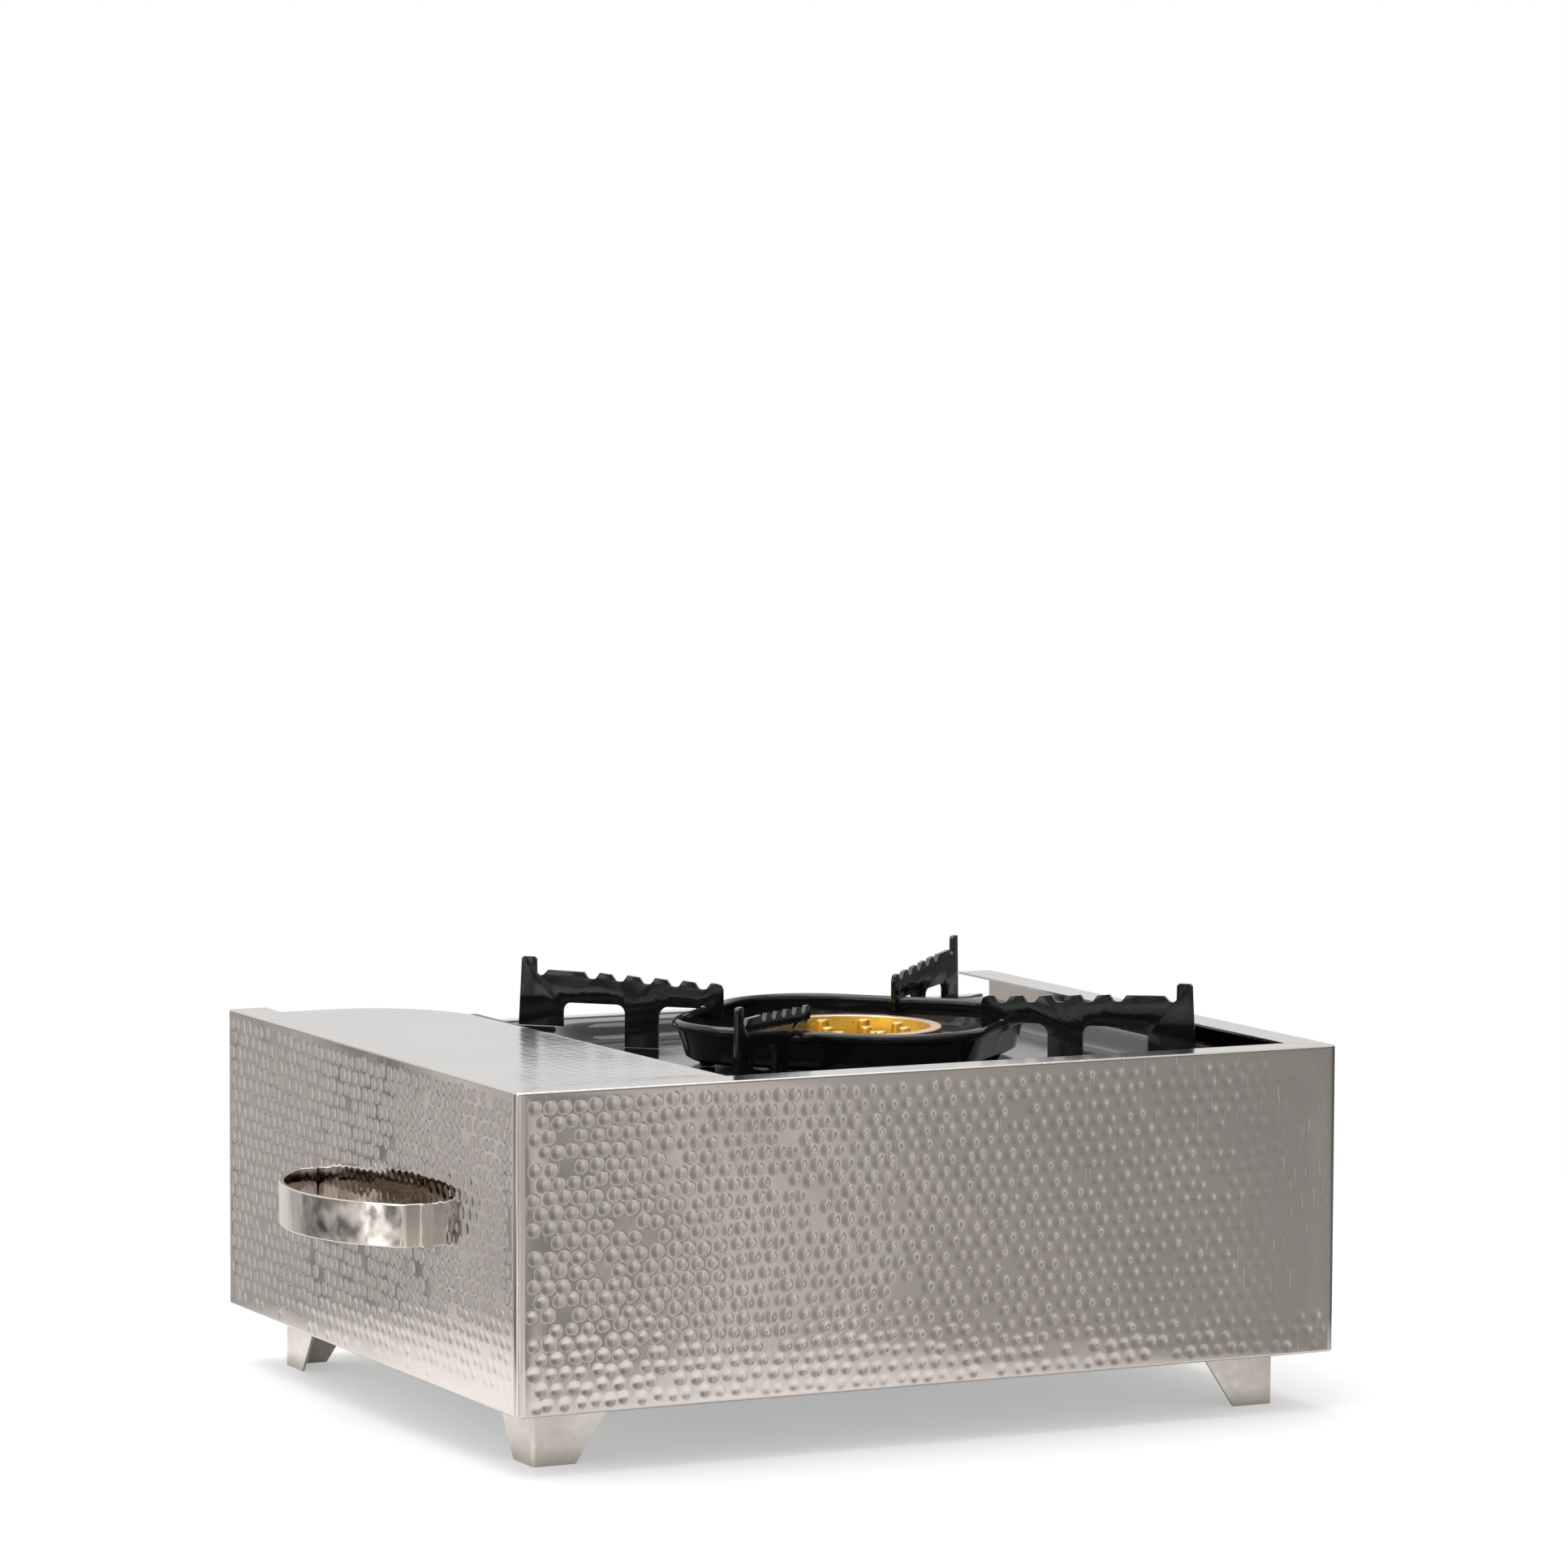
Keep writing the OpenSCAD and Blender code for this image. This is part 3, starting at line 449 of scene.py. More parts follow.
def corner_post(x, y, start):
    """Quarter turn of the sheet at a front corner, with its top and bottom bends."""
    out, r = CORNER_R, BEND_R
    low, top = WALL_LOW, WALL_TOP
    section = [(0, top), (0, top - SHEET), (out - r, top - SHEET)]
    section += [(out - SHEET, top - r), (out - SHEET, low + r), (out - r, low + SHEET), (0, low + SHEET)]
    section += [(0, low)] + arc((out - r, low + r), r, 270, 360, 7) + arc((out - r, top - r), r, 0, 90, 7)
    return turned(section, (x, y), 12, start, 90)


def place_front(u, d, z):
    return np.column_stack([u, -Y_OUT + d, z])


def place_right(u, d, z):
    return np.column_stack([X_OUT - d, u, z])


def place_left(u, d, z):
    return np.column_stack([-X_OUT + d, u, z])


FACE_LOW, FACE_TOP = WALL_LOW + BEND_R, WALL_TOP - BEND_R
MITRE_GAP = 0.35
# shares of the front wall's length and height where its marks turn shallow, fade out and thin out
DEEP_END, DEEP_FADE, DEEP, SHALLOWER = 0.06, 0.22, 1.9, 1.25
SMOOTH_FROM, SMOOTH_FADE, SMOOTHED, HEM_ROWS, SPARSE_FROM = 0.84, 0.12, 0.85, 0.12, 0.92


def front_strength(u, v):
    deep = DEEP - SHALLOWER * float(soft_step((u - DEEP_END) / DEEP_FADE))
    return deep * (1.0 - SMOOTHED * float(soft_step((u - SMOOTH_FROM) / SMOOTH_FADE)) * float(v > HEM_ROWS))


def front_wall():
    half = X_OUT - CORNER_R
    marks = hammer_marks(2 * half, FACE_TOP - FACE_LOW, 3, front_strength,
                         lambda u, v: 0.02 + 0.45 * float(u > SPARSE_FROM and v > HEM_ROWS))
    shape = Shape().add(hammered_slab(place_front, -half, half, FACE_LOW, FACE_TOP, marks, SHEET))
    shape.add(bent_edge(place_front, -half, half, WALL_TOP, 1, BEND_R + 0.01))
    shape.add(bent_edge(place_front, -half, half, WALL_LOW, -1, HEM))
    inner_x, inner_y = X_OUT - SIDE_FLANGE, -Y_OUT + FRONT_FLANGE
    edge_y, corner_y = -Y_OUT + BEND_R, -Y_OUT + CORNER_R
    gap = MITRE_GAP / 2
    shape.add(prism([(-half, edge_y), (half, edge_y), (half, corner_y - gap), (inner_x, inner_y - gap),
                     (-inner_x, inner_y - gap), (-half, corner_y - gap)], WALL_TOP - SHEET, WALL_TOP), 1)
    shape.add(corner_post(-half, corner_y, 180)).add(corner_post(half, corner_y, 270))
    return piece("hammered_front_wall", shape, "hammered_steel", "casing", ["casing_front_wall"], 28,
                 looks=["satin_steel"])


def side_wall(name, place, side, seed, node):
    start, end = -Y_OUT + CORNER_R, wall_high[1]
    marks = hammer_marks(end - start, FACE_TOP - FACE_LOW, seed,
                         lambda u, v: 0.8, lambda u, v: 0.05 + 0.5 * float(v < 0.06))
    shape = Shape().add(hammered_slab(place, start, end, FACE_LOW, FACE_TOP, marks, SHEET))
    shape.add(bent_edge(place, start, end, WALL_TOP, 1, BEND_R + 0.01))
    shape.add(bent_edge(place, start, end, WALL_LOW, -1, HEM))
    outer, inner = side * (X_OUT - BEND_R), side * (X_OUT - SIDE_FLANGE)
    front, gap = -Y_OUT + FRONT_FLANGE, MITRE_GAP / 2
    shape.add(prism([(outer, start + gap), (side * (X_OUT - CORNER_R), start + gap), (inner, front + gap),
                     (inner, end), (outer, end)], WALL_TOP - SHEET, WALL_TOP), 1)
    return piece(name, shape, "hammered_steel", "casing", [node], 28, looks=["satin_steel"])


def top_panel():
    """Sheet over the cartridge side, rounded at its free corner, its top slightly dented."""
    low, high = corners("casing_top_panel")
    x_left, y_front, y_rear, x_front = low[0], low[1], high[1], high[0]
    corner_r, x_rear = 52.0, x_front - 11.0
    edge_steps, corner_steps, cross_steps = 200, 70, 90
    middle = (x_rear - corner_r, y_rear - corner_r)
    edge = [(x_front + (x_rear - x_front) * t, y_front + (middle[1] - y_front) * t)
            for t in np.linspace(0, 1, edge_steps)]
    edge = np.array(edge + arc(middle, corner_r, 0, 90, corner_steps)[1:])
    across = np.linspace(0, 1, cross_steps)
    x = x_left + across[None, :] * (edge[:, 0] - x_left)[:, None]
    y = np.repeat(edge[:, 1][:, None], len(across), axis=1)
    field = hammer_marks(y_rear - y_front, x_front - x_left, 31, lambda u, v: 0.42, lambda u, v: 0.05)
    nu, nv = field.shape
    i = np.clip((y - y_front) / (y_rear - y_front) * (nu - 1), 0, nu - 1.001)
    j = np.clip((x - x_left) / (x_front - x_left) * (nv - 1), 0, nv - 1.001)
    i0, j0 = i.astype(int), j.astype(int)
    fi, fj = i - i0, j - j0
    depth = (field[i0, j0] * (1 - fi) * (1 - fj) + field[i0 + 1, j0] * fi * (1 - fj)
             + field[i0, j0 + 1] * (1 - fi) * fj + field[i0 + 1, j0 + 1] * fi * fj)
    depth[:, 0] = depth[:, -1] = depth[0] = depth[-1] = 0
    rows, n = x.shape
    above = np.column_stack([x.ravel(), y.ravel(), (high[2] - depth).ravel()])
    ends = np.column_stack([x[:, [0, -1]].ravel(), y[:, [0, -1]].ravel(), np.full(2 * rows, low[2])])
    faces = [[r * n + k, r * n + k + 1, (r + 1) * n + k + 1, (r + 1) * n + k]
             for r in range(rows - 1) for k in range(n - 1)]
    base = rows * n
    for r in range(rows - 1):
        a, b, c, d = base + 2 * r, base + 2 * r + 1, base + 2 * r + 3, base + 2 * r + 2
        faces += [[a, b, c, d], [r * n, (r + 1) * n, d, a], [r * n + n - 1, (r + 1) * n + n - 1, c, b]]
    faces.append(list(range(n)) + [base + 1, base])
    faces.append([(rows - 1) * n + k for k in range(n)] + [base + 2 * rows - 1, base + 2 * rows - 2])
    return piece("top_panel", Shape().add((np.concatenate([above, ends]), faces)), "satin_steel", "casing",
                 ["casing_top_panel"], 28)


front_wall()
side_wall("hammered_left_wall", place_left, -1, 11, "casing_left_wall")
side_wall("hammered_right_wall", place_right, 1, 12, "casing_right_wall")
top_panel()

# ---- feet and handles ----


def sheet_foot(name, node):
    low, high = corners(node)
    sx = -1 if low[0] < 0 else 1
    sy = -1 if low[1] < 0 else 1
    corner = np.array([low[0] if sx < 0 else high[0], low[1] if sy < 0 else high[1]])
    thick, fold, bottom, top = 1.2, 2.0, 20.0, high[0] - low[0]
    rings = []
    for z in (0.0, 0.25, 1.0, 4.0, 9.0, 14.0, 19.0, 23.0, high[2]):
        wing = bottom + (top - bottom) * z / high[2]
        ease = 0.25 if z == 0 else 0.0
        outer = [(wing, ease)] + arc((fold, fold), fold - ease, 270, 180, 9) + [(ease, wing)]
        inner = [(thick - ease, wing)] + arc((fold, fold), fold - thick + ease, 180, 270, 9)
        inner += [(wing, thick - ease)]
        plan = np.array(outer + inner) * (-sx, -sy) + corner
        rings.append(np.column_stack([plan, np.full(len(plan), z)]))
    shape = Shape().add(rings_solid(rings))
    tab = np.array([(thick, thick), (30, thick), (30, 30), (thick, 30)]) * (-sx, -sy) + corner
    shape.add(prism(tab, high[2] - thick, high[2]))
    return piece(name, shape, "plain_steel", "casing", [node], 35)


for corner_name in ("front_left", "front_right", "rear_left", "rear_right"):
    sheet_foot("sheet_foot_" + corner_name, "foot_" + corner_name)


def strap_handle(name, node, side):
    """Bowed strap, its two ends turned towards the wall with a tight bend."""
    low, high = corners(node)
    thick, leg, bend, edge, lip, fold = 2.5, 10.0, 1.8, 0.7, 4.2, 2.0
    middle_y, half = (low[1] + high[1]) / 2, 62.0
    reach = max(abs(low[0]), abs(high[0])) - X_OUT
    rise = reach - leg
    bow = (half * half + rise * rise) / (2 * rise) - thick / 2
    centre = reach - thick / 2 - bow
    end_y = half - thick / 2
    end_out = centre + math.sqrt(bow * bow - end_y * end_y)
    lean = math.asin(end_y / bow)
    pull = bend * math.tan((math.pi / 2 - lean) / 2)
    start = math.asin((end_y - pull * math.cos(lean)) / bow)
    turn_end = math.pi / 2 - lean
    seat = 0.95
    path = [(seat, end_y + lip), (seat, end_y + (lip + fold) / 2)]
    path += [(seat + fold - fold * math.cos(t), end_y + fold - fold * math.sin(t))
             for t in np.linspace(0, math.pi / 2, 8)]
    hub = (end_out - pull, end_y - bend)
    path += [(hub[0] + bend * math.sin(t), hub[1] + bend * math.cos(t))
             for t in np.linspace(0, turn_end, 8)]
    path += [(centre + bow * math.cos(t), bow * math.sin(t)) for t in np.linspace(start * 0.985, 0, 40)]
    path += [(o, -y) for o, y in reversed(path[:-1])]
    path = np.array(path)
    along = np.gradient(path, axis=0)
    along /= np.linalg.norm(along, axis=1)[:, None]
    rng = np.random.default_rng(21)
    level, tall = (low[2] + high[2]) / 2, (high[2] - low[2]) / 2
    corner = arc((thick / 2 - edge, tall - edge), edge, 0, 90, 5)
    section = corner + [(-a, b) for a, b in reversed(corner)]
    section += [(-a, -b) for a, b in corner] + [(a, -b) for a, b in reversed(corner)]
    rings = []
    turns = rng.uniform(0, 6.28, 6)
    for (out, y), (to, ty) in zip(path, along):
        ring = []
        for a, b in section:
            dent = 1 - 0.10 * (1 + math.sin(y / 3.1 + turns[0] + 0.6 * math.sin(b / 5 + turns[1]))
                               * math.sin(y / 7.3 + b / 6 + turns[2])) / 2
            ring.append((side * (X_OUT + out - a * dent * ty), middle_y + y + a * dent * to, level + b))
        rings.append(ring)
    shape = Shape().add(rings_solid(rings))
    return piece(name, shape, "polished_steel", "casing", [node], 40)


strap_handle("strap_handle_left", "handle_left", -1)
strap_handle("strap_handle_right", "handle_right", 1)

# ---- enamelled top of the stove ----

plate_low, plate_high = corners("stove_top_plate")
ring_low, ring_high = corners("burner_head")
BURNER = (ring_low[0] + ring_high[0]) / 2, (ring_low[1] + ring_high[1]) / 2
PLATE_Z = plate_high[2]
RECESS_DEPTH, RECESS_SLOPE, RECESS_R = 8.3, 9.0, 38.0
RECESS_MARGINS = (7.0, 24.0, 8.0, 22.0)
WELL_R, PLATE_SHEET = 50.0, 1.0


def enamel_plate():
    x0, y0, x1, y1 = plate_low[0], plate_low[1], plate_high[0], plate_high[1]
    m = RECESS_MARGINS
    floor_z = PLATE_Z - RECESS_DEPTH
    rows = [(0, plate_low[2] + 0.4), (0, PLATE_Z - 2)]
    rows += [(2 - 2 * math.cos(t), PLATE_Z - 2 + 2 * math.sin(t)) for t in np.linspace(0.3, math.pi / 2, 5)]
    rows += [(3.2, PLATE_Z)]
    loops = [(rounded_loop(x0 + i, y0 + i, x1 - i, y1 - i, 12 - min(i, 3)), z) for i, z in rows]
    for t in np.linspace(0, 1, 15):
        i = -1.5 + t * (RECESS_SLOPE + 3)
        z = PLATE_Z - RECESS_DEPTH * float(soft_step(t))
        loops.append((rounded_loop(x0 + m[0] + i, y0 + m[1] + i, x1 - m[2] - i, y1 - m[3] - i,
                                   RECESS_R - i), z))
    away = loops[-1][0] - BURNER
    away /= np.linalg.norm(away, axis=1)[:, None]
    for r, z in ((WELL_R + 14, floor_z), (WELL_R + 1.2, floor_z), (WELL_R + 0.4, floor_z - 0.3),
                 (WELL_R, floor_z - 1.0), (WELL_R, floor_z - 2.2)):
        loops.append((BURNER + away * r, z))
    under = [(loop, z - PLATE_SHEET) for loop, z in loops[8:-3]]
    inner = [(rounded_loop(x0 + i, y0 + i, x1 - i, y1 - i, 11), z) for i, z in
             ((PLATE_SHEET, plate_low[2] + 0.4), (PLATE_SHEET, PLATE_Z - 2.4), (2.2, PLATE_Z - PLATE_SHEET))]
    lip = [(BURNER + away * (WELL_R + PLATE_SHEET), floor_z - z) for z in (2.2, 1.6)]
    rings = loops + lip + under[::-1] + inner[::-1]
    solid = rings_solid([np.column_stack([loop, np.full(len(loop), z)]) for loop, z in rings], around=True)
    return piece("enamel_plate", Shape().add(solid), "black_enamel", "stove", ["stove_top_plate"], 50)


PAN_HALF, PAN_CORNER_R, PAN_HOLE_R, RIM_R = 74.0, 45.0, 48.0, 2.4
PAN_FOOT_R, PAN_WALL = 37.5, 1.0
pan_low, pan_high = corners("drip_pan")
RIM_Z = pan_high[2] - RIM_R
PAN_FLOOR_Z = PLATE_Z - 6.0
PAN_LEG_AT, PAN_LEG_R = 73, 3.5


def pan_loop(r, z, clip=0.0):
    """Level line of the drip pan at r from its corner centres, bulging by clip at the four supports."""
    c = PAN_HALF - PAN_CORNER_R
    loop = rounded_loop(-c - r, -c - r, c + r, c + r, r, 14, 24)
    near = np.minimum(np.abs(loop[:, 0]), np.abs(loop[:, 1]))
    swell = np.exp(-(near / 3.2) ** 2) * clip
    half = math.sqrt(0.5)
    plan = np.column_stack([(loop[:, 0] - loop[:, 1]) * half, (loop[:, 0] + loop[:, 1]) * half])
    return plan, swell, z


def drip_pan():
    bead_r = PAN_CORNER_R - RIM_R
    rings = []

    def level(r, z, clip_r=0.0, clip_z=0.0):
        plan, swell, height = pan_loop(r, z, 1.0)
        out = plan / np.linalg.norm(plan, axis=1)[:, None]
        plan = plan + out * (swell * clip_r)[:, None] + BURNER
        rings.append(np.column_stack([plan, height + swell * clip_z]))

    def hole(r, z):
        plan = pan_loop(PAN_FOOT_R, z)[0]
        out = plan / np.linalg.norm(plan, axis=1)[:, None]
        rings.append(np.column_stack([BURNER + out * r, np.full(len(out), z)]))

    top = PAN_FLOOR_Z + PAN_WALL
    hole(PAN_HOLE_R + 0.1, top + 0.5)
    hole(PAN_HOLE_R + 0.8, top + 0.9)
    hole(PAN_HOLE_R + 2.2, top + 0.2)
    hole(PAN_HOLE_R + 4.5, top)
    level(PAN_FOOT_R - 5.0, top)
    for t in np.linspace(0, 1, 6):
        level(PAN_FOOT_R - 3.1 + 3.6 * t, top + 1.9 * t * t)
    level(PAN_FOOT_R + 2.8, top + 7.4)
    for angle in np.linspace(215, -85, 21):
        c, s = math.cos(math.radians(angle)), math.sin(math.radians(angle))
        level(bead_r + RIM_R * c, RIM_Z + RIM_R * s, 1.3 * c, 0.5 * s - 0.5)
    level(PAN_FOOT_R + 3.6, PAN_FLOOR_Z + 8.6)
    for t in np.linspace(1, 0, 6):
        level(PAN_FOOT_R - 2.0 + 3.9 * t, PAN_FLOOR_Z + 1.9 * t * t)
    hole(PAN_HOLE_R + 4.5, PAN_FLOOR_Z)
    hole(PAN_HOLE_R + 0.3, PAN_FLOOR_Z + 0.2)
    shape = Shape().add(rings_solid(rings, around=True))
    foot_z = pan_low[2]
    for angle in (0, 90, 180, 270):
        at = (BURNER[0] + PAN_LEG_AT * math.cos(math.radians(angle)),
              BURNER[1] + PAN_LEG_AT * math.sin(math.radians(angle)))
        leg = [(0, foot_z), (PAN_LEG_R - 0.6, foot_z), (PAN_LEG_R, foot_z + 0.5),
               (PAN_LEG_R, PAN_FLOOR_Z - 0.5), (PAN_LEG_R + 0.8, PAN_FLOOR_Z + 0.2), (0, PAN_FLOOR_Z + 0.2)]
        shape.add(turned(leg, at, 32))
    return piece("enamel_drip_pan", shape, "black_enamel", "pan_set", ["drip_pan"], 55)


enamel_plate()
drip_pan()
for where in ("right", "rear", "left", "front"):
    refined("notched_support_" + where, "pan_support_" + where, 0.6, segments=4, crease=20)

# ---- burner ----

RING_Z, RING_R = ring_high[2], (ring_high[0] - ring_low[0]) / 2
RING_W, DISH_DEPTH = 5.0, 13.0
DISH_Z = RING_Z - DISH_DEPTH


def burner_dish():
    mouth = RING_R - RING_W
    under = [(8, DISH_Z - 3), (RING_R - 8, DISH_Z - 3)] + arc((RING_R - 8, DISH_Z + 5), 8, 280, 352, 8)
    side = [(RING_R - 0.9, RING_Z - 5.5), (RING_R - 0.1, RING_Z - 5), (RING_R, RING_Z - 0.9)]
    top = arc((RING_R - 0.8, RING_Z - 0.8), 0.8, 20, 90, 4) + [(mouth + 0.5, RING_Z)]
    top += arc((mouth + 0.4, RING_Z - 0.6), 0.6, 95, 175, 4)
    bowl = [(mouth - 1.2, RING_Z - 4)] + arc((mouth - 8.4, DISH_Z + 6), 6, 0, -90, 9) + [(9, DISH_Z)]
    bowl += [(8.2, DISH_Z - 0.6)]
    rough = np.random.default_rng(5)
    profile = under + side + top + bowl
    verts, faces = turned(profile, BURNER, 160)
    shape = Shape().add((verts, faces))
    turned_from = len(under) + len(side)
    machined = range(turned_from - 1, turned_from + len(top) - 1)
    smooth = range(turned_from - 2, turned_from + len(top) + 1)
    n = len(profile)
    shape.marks = [1 if (i % n) in machined else 0 for i in range(len(faces))]
    cast = np.array([0 if (i % n) in smooth else 1 for i in range(len(verts))])
    shape.verts = (verts + cast[:, None] * rough.normal(0, 0.045, verts.shape)).tolist()
    return piece("burner_dish", shape, "gold_casting", "stove", ["burner_head"], 40,
                 ["machined_gold"])


def burner_jets():
    outer, outer_r, outer_turn = 8, 25.0, 5.0
    inner, inner_r, inner_turn = 4, 13.0, 30
    places = [(outer_r, outer_turn + 360 * i / outer, RING_Z - 0.2) for i in range(outer)]
    places += [(inner_r, inner_turn + 360 * i / inner, RING_Z - 2.0) for i in range(inner)]
    shape = Shape()
    rough = np.random.default_rng(6)
    for r, angle, top in places:
        at = (BURNER[0] + r * math.cos(math.radians(angle)), BURNER[1] + r * math.sin(math.radians(angle)))
        foot = DISH_Z - 0.3
        profile = [(0, foot), (4.6, foot), (4.1, foot + 0.9), (3.75, foot + 2.2), (3.2, (foot + top) / 2),
                   (2.75, top - 1.4), (2.6, top - 0.5), (2.25, top - 0.08), (1.9, top), (1.25, top),
                   (1.05, top - 0.3), (1.0, top - 2.4), (0, top - 2.4)]
        verts, faces = turned(profile, at, 28)
        start = len(shape.faces)
        shape.add((verts + rough.normal(0, 0.035, verts.shape), faces))
        for i in range(len(faces)):
            if i % len(profile) in (7, 8):
                shape.marks[start + i] = 1
    return piece("burner_jets", shape, "gold_casting", "stove", ["burner_nozzles"], 40,
                 ["machined_gold"])


burner_dish()
burner_jets()

# ---- operator side ----

refined("fascia_panel", "control_fascia", 0.5)
refined("lid_cover", "cartridge_lid", 0.5)
refined("lock_lever_blade", "lock_lever", 0.6)

knob_low, knob_high = corners("control_knob")
KNOB_X, KNOB_Z = (knob_low[0] + knob_high[0]) / 2, (knob_low[2] + knob_high[2]) / 2
KNOB_R, KNOB_Y0, KNOB_Y1 = (knob_high[0] - knob_low[0]) / 2, knob_low[1], knob_high[1]


def knob():
    ribs = 30
    deep = KNOB_Y1 - KNOB_Y0
    skirt = [(0, KNOB_Y0 + 1), (KNOB_R - 2.5, KNOB_Y0 + 1), (KNOB_R - 2.2, KNOB_Y0),
             (KNOB_R - 0.8, KNOB_Y0), (KNOB_R, KNOB_Y0 + 0.8), (KNOB_R, KNOB_Y0 + 2.6),
             (KNOB_R - 1.6, KNOB_Y0 + 3.2), (0, KNOB_Y0 + 3.2)]
    crown = [(0, KNOB_Y0 + 3), (KNOB_R - 2.2, KNOB_Y0 + 3), (KNOB_R - 3.0, KNOB_Y0 + deep * 0.7),
             (KNOB_R - 4.0, KNOB_Y1 - 2.6), (KNOB_R - 6.5, KNOB_Y1 - 1.6), (0, KNOB_Y1 - 1.4)]
    shape = Shape().add(laid_along_y(turned(skirt, (0, 0), 120), KNOB_X, KNOB_Z))
    fluted = turned(crown, (0, 0), 240, wave=lambda a: 1 - 0.022 * (1 + math.cos(ribs * a)) / 2)
    shape.add(laid_along_y(fluted, KNOB_X, KNOB_Z))
    wing = KNOB_R - 7
    bar = rounded_loop(-3.2, -wing, 3.2, wing, 3.0, 8, 6)
    rings = [np.column_stack([bar * (1 - ease * 0.12, 1 - ease * 0.03), np.full(len(bar), y)])
             for ease, y in ((0, KNOB_Y1 - 3), (0, KNOB_Y1 - 0.8), (0.6, KNOB_Y1 - 0.2), (1.6, KNOB_Y1))]
    shape.add(laid_along_y(rings_solid(rings), KNOB_X, KNOB_Z))
    pointer = rounded_loop(-0.8, wing - 7, 0.8, wing - 1.2, 0.7, 4, 2)
    rings = [np.column_stack([pointer, np.full(len(pointer), y)]) for y in (KNOB_Y1 - 0.5, KNOB_Y1)]
    shape.add(laid_along_y(rings_solid(rings), KNOB_X, KNOB_Z), 1)
    return piece("ribbed_knob", shape, "knob_plastic", "knob", ["control_knob"], 35,
                 ["ivory_plastic"])


def dial_ring():
    low, high = corners("knob_dial_ring")
    inner, outer = KNOB_R + 0.8, (high[0] - low[0]) / 2
    y0, y1 = low[1], high[1]
    profile = [(inner, y0), (outer, y0), (outer, y1 - 0.4), (outer - 0.4, y1 - 0.15),
               (inner + 0.3, y1 - 0.15), (inner, y1 - 0.4)]
    shape = Shape().add(laid_along_y(turned(profile, (0, 0), 120), KNOB_X, KNOB_Z))
    for k in range(9):
        angle = math.radians(90 + 15 * k)
        half = 0.25 + 0.04 * k
        across = np.array([(inner + 1, -half), (outer - 0.8, -half), (outer - 0.8, half), (inner + 1, half)])
        spin = np.array([[math.cos(angle), math.sin(angle)], [-math.sin(angle), math.cos(angle)]])
        shape.add(laid_along_y(prism(across @ spin, y1 - 0.4, y1), KNOB_X, KNOB_Z), 1)
    return piece("dial_ring", shape, "dial_silver", "stove", ["knob_dial_ring"], 30,
                 ["dial_ink"])


knob()
dial_ring()

# ---- CAD nodes that stay, each in its own finish ----

for node, obj in nodes.items():
    if not obj.hide_render:
        if not obj.data.materials:
            obj.data.materials.append(LOOKS[SLOT_OF[node]])
        for material_slot in obj.material_slots:
            material_slot.material = LOOKS[SLOT_OF[node]]

# ---- studio ----

# brightness of the room by heading in degrees from +Y towards +X
ROOM = [(-180, 0.70), (-150, 0.62), (-120, 0.50), (-90, 0.42), (-62, 0.28), (-46, 0.26), (-36, 0.42),
        (-28, 0.54), (-22, 0.62), (-12, 0.85), (0, 0.85), (8, 0.80), (36, 0.75), (46, 0.13), (90, 0.13),
        (115, 0.22), (138, 0.34), (149.5, 0.36), (151.5, 0.42), (153, 0.46), (155.6, 0.54), (160, 0.60),
        (172, 0.66)]
# narrow bands of that room: heading where each begins and is full, where it fades and ends, and its gain
BANDS = [(-23.12, -22.97, -22.50, -22.10, -0.66), (-23.8, -23.35, -23.16, -23.06, 0.45),
         (-21.78, -21.66, -21.40, -21.25, -0.5), (-22.05, -21.95, -21.85, -21.75, 0.2),
         (-108, -101, -93, -86, 1.6), (-140, -137, -133, -130, 0.35)]
# direction of a dark thing with a bright edge that stands behind the camera, and how much it is squashed
DARK_THING = Vector((math.sin(math.radians(155.7)), math.cos(math.radians(155.7)), -0.165)).normalized()
SQUASH = (1, 1, 0.4)
# how the room's light changes with height: the lowest and highest slope in question, and the gain at each
BELOW, ABOVE = (-0.45, -0.12, 1.7, 1.0), (-0.14, 0.20, 1.0, 0.6)
LEFT_LIMIT = (-0.65, -0.25, 0, 1)
CLOUDS, CLOUDS_ONLY_LEFT = (0.38, 0.62, 0.3, 2.2), (-0.50, -0.70, 0, 1)
EDGE_RISE, EDGE_FALL, DARK_CORE = (0.018, 0.026, 0, 1), (0.030, 0.052, 1, 0), (0.014, 0.019, 0.55, 1.0)
CEILING_START, CEILING_GAIN = (-0.1, 0.3, 0.45, 0.145), (-0.1, 0.3, 4, 10)
# metres from the middle over which the camera sees the floor turn white, and reflections lose the floor.
# Nearer in, the floor still glows 0.4 white to the camera: painted light that lightens the stove's cast
# shadow
FLOOR_WHITE, FLOOR_CLEAR = (0.34, 0.80, 0.40, 1.0), (0.26, 0.42, 0, 1)


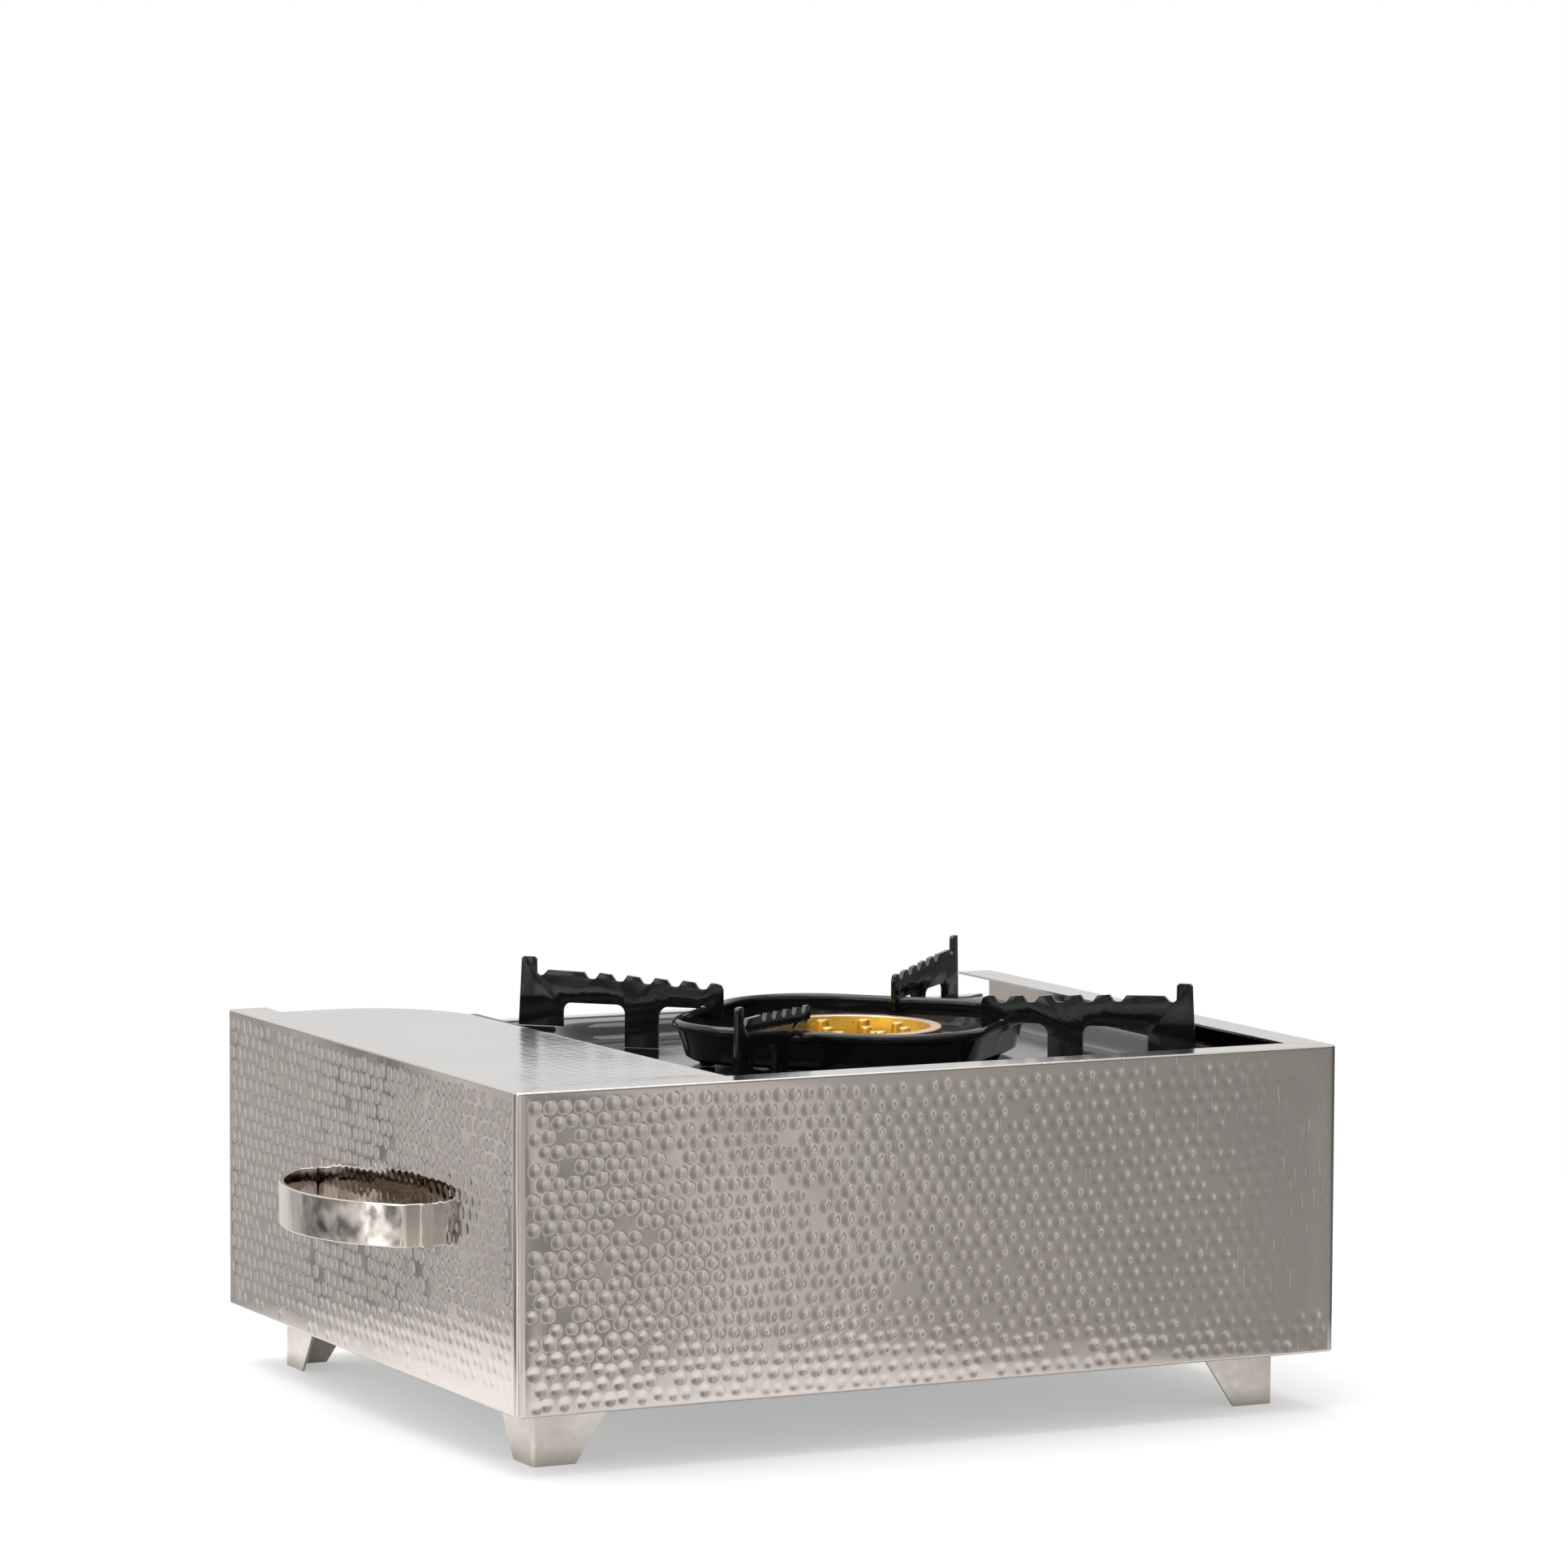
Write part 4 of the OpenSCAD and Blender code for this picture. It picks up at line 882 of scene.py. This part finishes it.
def studio_world():
    """Plain white to the camera. Reflections see a room lit by heading, under a white ceiling.

    ROOM, BANDS and DARK_THING are set for what the steel reflects from the photo's viewpoint.
    """
    world = bpy.data.worlds.new("studio")
    world.use_nodes = True
    bpy.context.scene.world = world
    tree = world.node_tree
    shader = tree.nodes["Background"]
    direction = put(tree, "ShaderNodeTexCoord").outputs["Generated"]
    towards = put(tree, "ShaderNodeSeparateXYZ")
    tree.links.new(direction, towards.inputs[0])
    x, y, z = (towards.outputs[k] for k in "XYZ")
    heading = maths(tree, "ARCTAN2", x, y)
    share = ranged(tree, heading, -math.pi, math.pi, 0, 1)
    ramp = put(tree, "ShaderNodeValToRGB")
    points = ramp.color_ramp.elements
    points.remove(points[1])
    for k, (angle, light) in enumerate(ROOM):
        stop = points[0] if k == 0 else points.new((angle + 180) / 360)
        stop.position = (angle + 180) / 360
        stop.color = (light, light * 0.985, light * 0.965, 1)
    tree.links.new(share, ramp.inputs["Fac"])
    front = ranged(tree, y, 0.25, -0.15, 0, 1)
    height_gain = maths(tree, "MULTIPLY", ranged(tree, z, *BELOW), ranged(tree, z, *ABOVE))
    slope = maths(tree, "MULTIPLY", maths(tree, "SUBTRACT", height_gain, 1.0), ranged(tree, x, *LEFT_LIMIT))
    level = maths(tree, "MULTIPLY_ADD", front, slope, 1.0)
    for begin, full, fade, end, gain in BANDS:
        rise = ranged(tree, heading, math.radians(begin), math.radians(full), 0, gain)
        drop = ranged(tree, heading, math.radians(fade), math.radians(end), 1, 0)
        level = maths(tree, "MULTIPLY", level, maths(tree, "MULTIPLY_ADD", rise, drop, 1.0))
    cloudy = ranged(tree, noise(tree, direction, 6.0, 3.0, 0.6), *CLOUDS)
    uneven = maths(tree, "SUBTRACT", cloudy, 1.0)
    left_side = ranged(tree, x, *CLOUDS_ONLY_LEFT)
    level = maths(tree, "MULTIPLY", level, maths(tree, "MULTIPLY_ADD", left_side, uneven, 1.0))
    pressed = put(tree, "ShaderNodeVectorMath", operation="MULTIPLY")
    tree.links.new(direction, pressed.inputs[0])
    pressed.inputs[1].default_value = SQUASH
    apart = put(tree, "ShaderNodeVectorMath", operation="DISTANCE")
    tree.links.new(pressed.outputs[0], apart.inputs[0])
    apart.inputs[1].default_value = [a * b for a, b in zip(DARK_THING, SQUASH)]
    near = maths(tree, "ADD", apart.outputs["Value"],
                 ranged(tree, noise(tree, direction, 24.0, 3.0, 0.6), 0.35, 0.65, -0.012, 0.012))
    bright_edge = maths(tree, "MULTIPLY", ranged(tree, near, *EDGE_RISE), ranged(tree, near, *EDGE_FALL))
    level = maths(tree, "MULTIPLY", level, maths(tree, "MULTIPLY_ADD", bright_edge, 0.5, 1.0))
    level = maths(tree, "MULTIPLY", level, ranged(tree, near, *DARK_CORE))
    start = ranged(tree, y, *CEILING_START)
    overhead = maths(tree, "MULTIPLY", maths(tree, "SUBTRACT", z, start), ranged(tree, y, *CEILING_GAIN))
    overhead.node.use_clamp = True
    dim = mixed(tree, level, (0.0, 0.0, 0.0), ramp.outputs["Color"])
    dim.node.clamp_factor = False
    room = mixed(tree, overhead, dim, (1.0, 0.995, 0.99))
    seen = mixed(tree, put(tree, "ShaderNodeLightPath").outputs["Is Camera Ray"], room, (1.0, 1.0, 1.0))
    tree.links.new(seen, shader.inputs["Color"])
    shader.inputs["Strength"].default_value = 1.0


def floor():
    mesh = bpy.data.meshes.new("studio_floor")
    half = 12.0
    square = [(-half, -half, 0), (half, -half, 0), (half, half, 0), (-half, half, 0)]
    mesh.from_pydata(square, [], [(0, 1, 2, 3)])
    obj = bpy.data.objects.new("studio_floor", mesh)
    bpy.context.scene.collection.objects.link(obj)
    mat = bpy.data.materials.new("studio_floor")
    mat.use_nodes = True
    tree = mat.node_tree
    shader = tree.nodes["Principled BSDF"]
    shader.inputs["Base Color"].default_value = (0.93, 0.93, 0.925, 1)
    shader.inputs["Roughness"].default_value = 0.9
    shader.inputs["Specular IOR Level"].default_value = 0.1
    far = put(tree, "ShaderNodeVectorMath", operation="LENGTH")
    tree.links.new(put(tree, "ShaderNodeNewGeometry").outputs["Position"], far.inputs[0])
    rays = put(tree, "ShaderNodeLightPath")
    white = put(tree, "ShaderNodeEmission", Color=(1, 1, 1, 1), Strength=1.0)
    # painted light: to the camera the floor glows white, 0.4 near the stove, which lightens its cast shadow,
    # and fully white farther out
    painted_floor_glow = ranged(tree, far.outputs["Value"], *FLOOR_WHITE)
    bright = put(tree, "ShaderNodeMixShader")
    tree.links.new(maths(tree, "MULTIPLY", rays.outputs["Is Camera Ray"], painted_floor_glow), bright.inputs[0])
    tree.links.new(shader.outputs[0], bright.inputs[1])
    tree.links.new(white.outputs[0], bright.inputs[2])
    clear = put(tree, "ShaderNodeMixShader")
    fade = ranged(tree, far.outputs["Value"], *FLOOR_CLEAR)
    tree.links.new(maths(tree, "MULTIPLY", rays.outputs["Is Glossy Ray"], fade), clear.inputs[0])
    tree.links.new(bright.outputs[0], clear.inputs[1])
    tree.links.new(put(tree, "ShaderNodeBsdfTransparent").outputs[0], clear.inputs[2])
    tree.links.new(clear.outputs[0], tree.nodes["Material Output"].inputs["Surface"])
    mesh.materials.append(mat)


def softbox(name, place, target, size, power, colour=(1, 1, 1)):
    data = bpy.data.lights.new(name, "AREA")
    data.shape, data.size, data.size_y = "RECTANGLE", *size
    data.energy, data.color = power, colour
    light = bpy.data.objects.new(name, data)
    light.location = place
    light.rotation_euler = (Vector(target) - Vector(place)).to_track_quat("-Z", "Y").to_euler()
    light.visible_camera = False
    bpy.context.scene.collection.objects.link(light)


studio_world()
floor()
softbox("top_softbox", (-0.2, 0.3, 2.0), (0, 0, 0), (2.2, 1.8), 38)
softbox("left_softbox", (-2.4, -0.9, 1.1), (0, 0, 0.1), (0.5, 1.5), 4)
bpy.context.scene.view_settings.view_transform = "Standard"
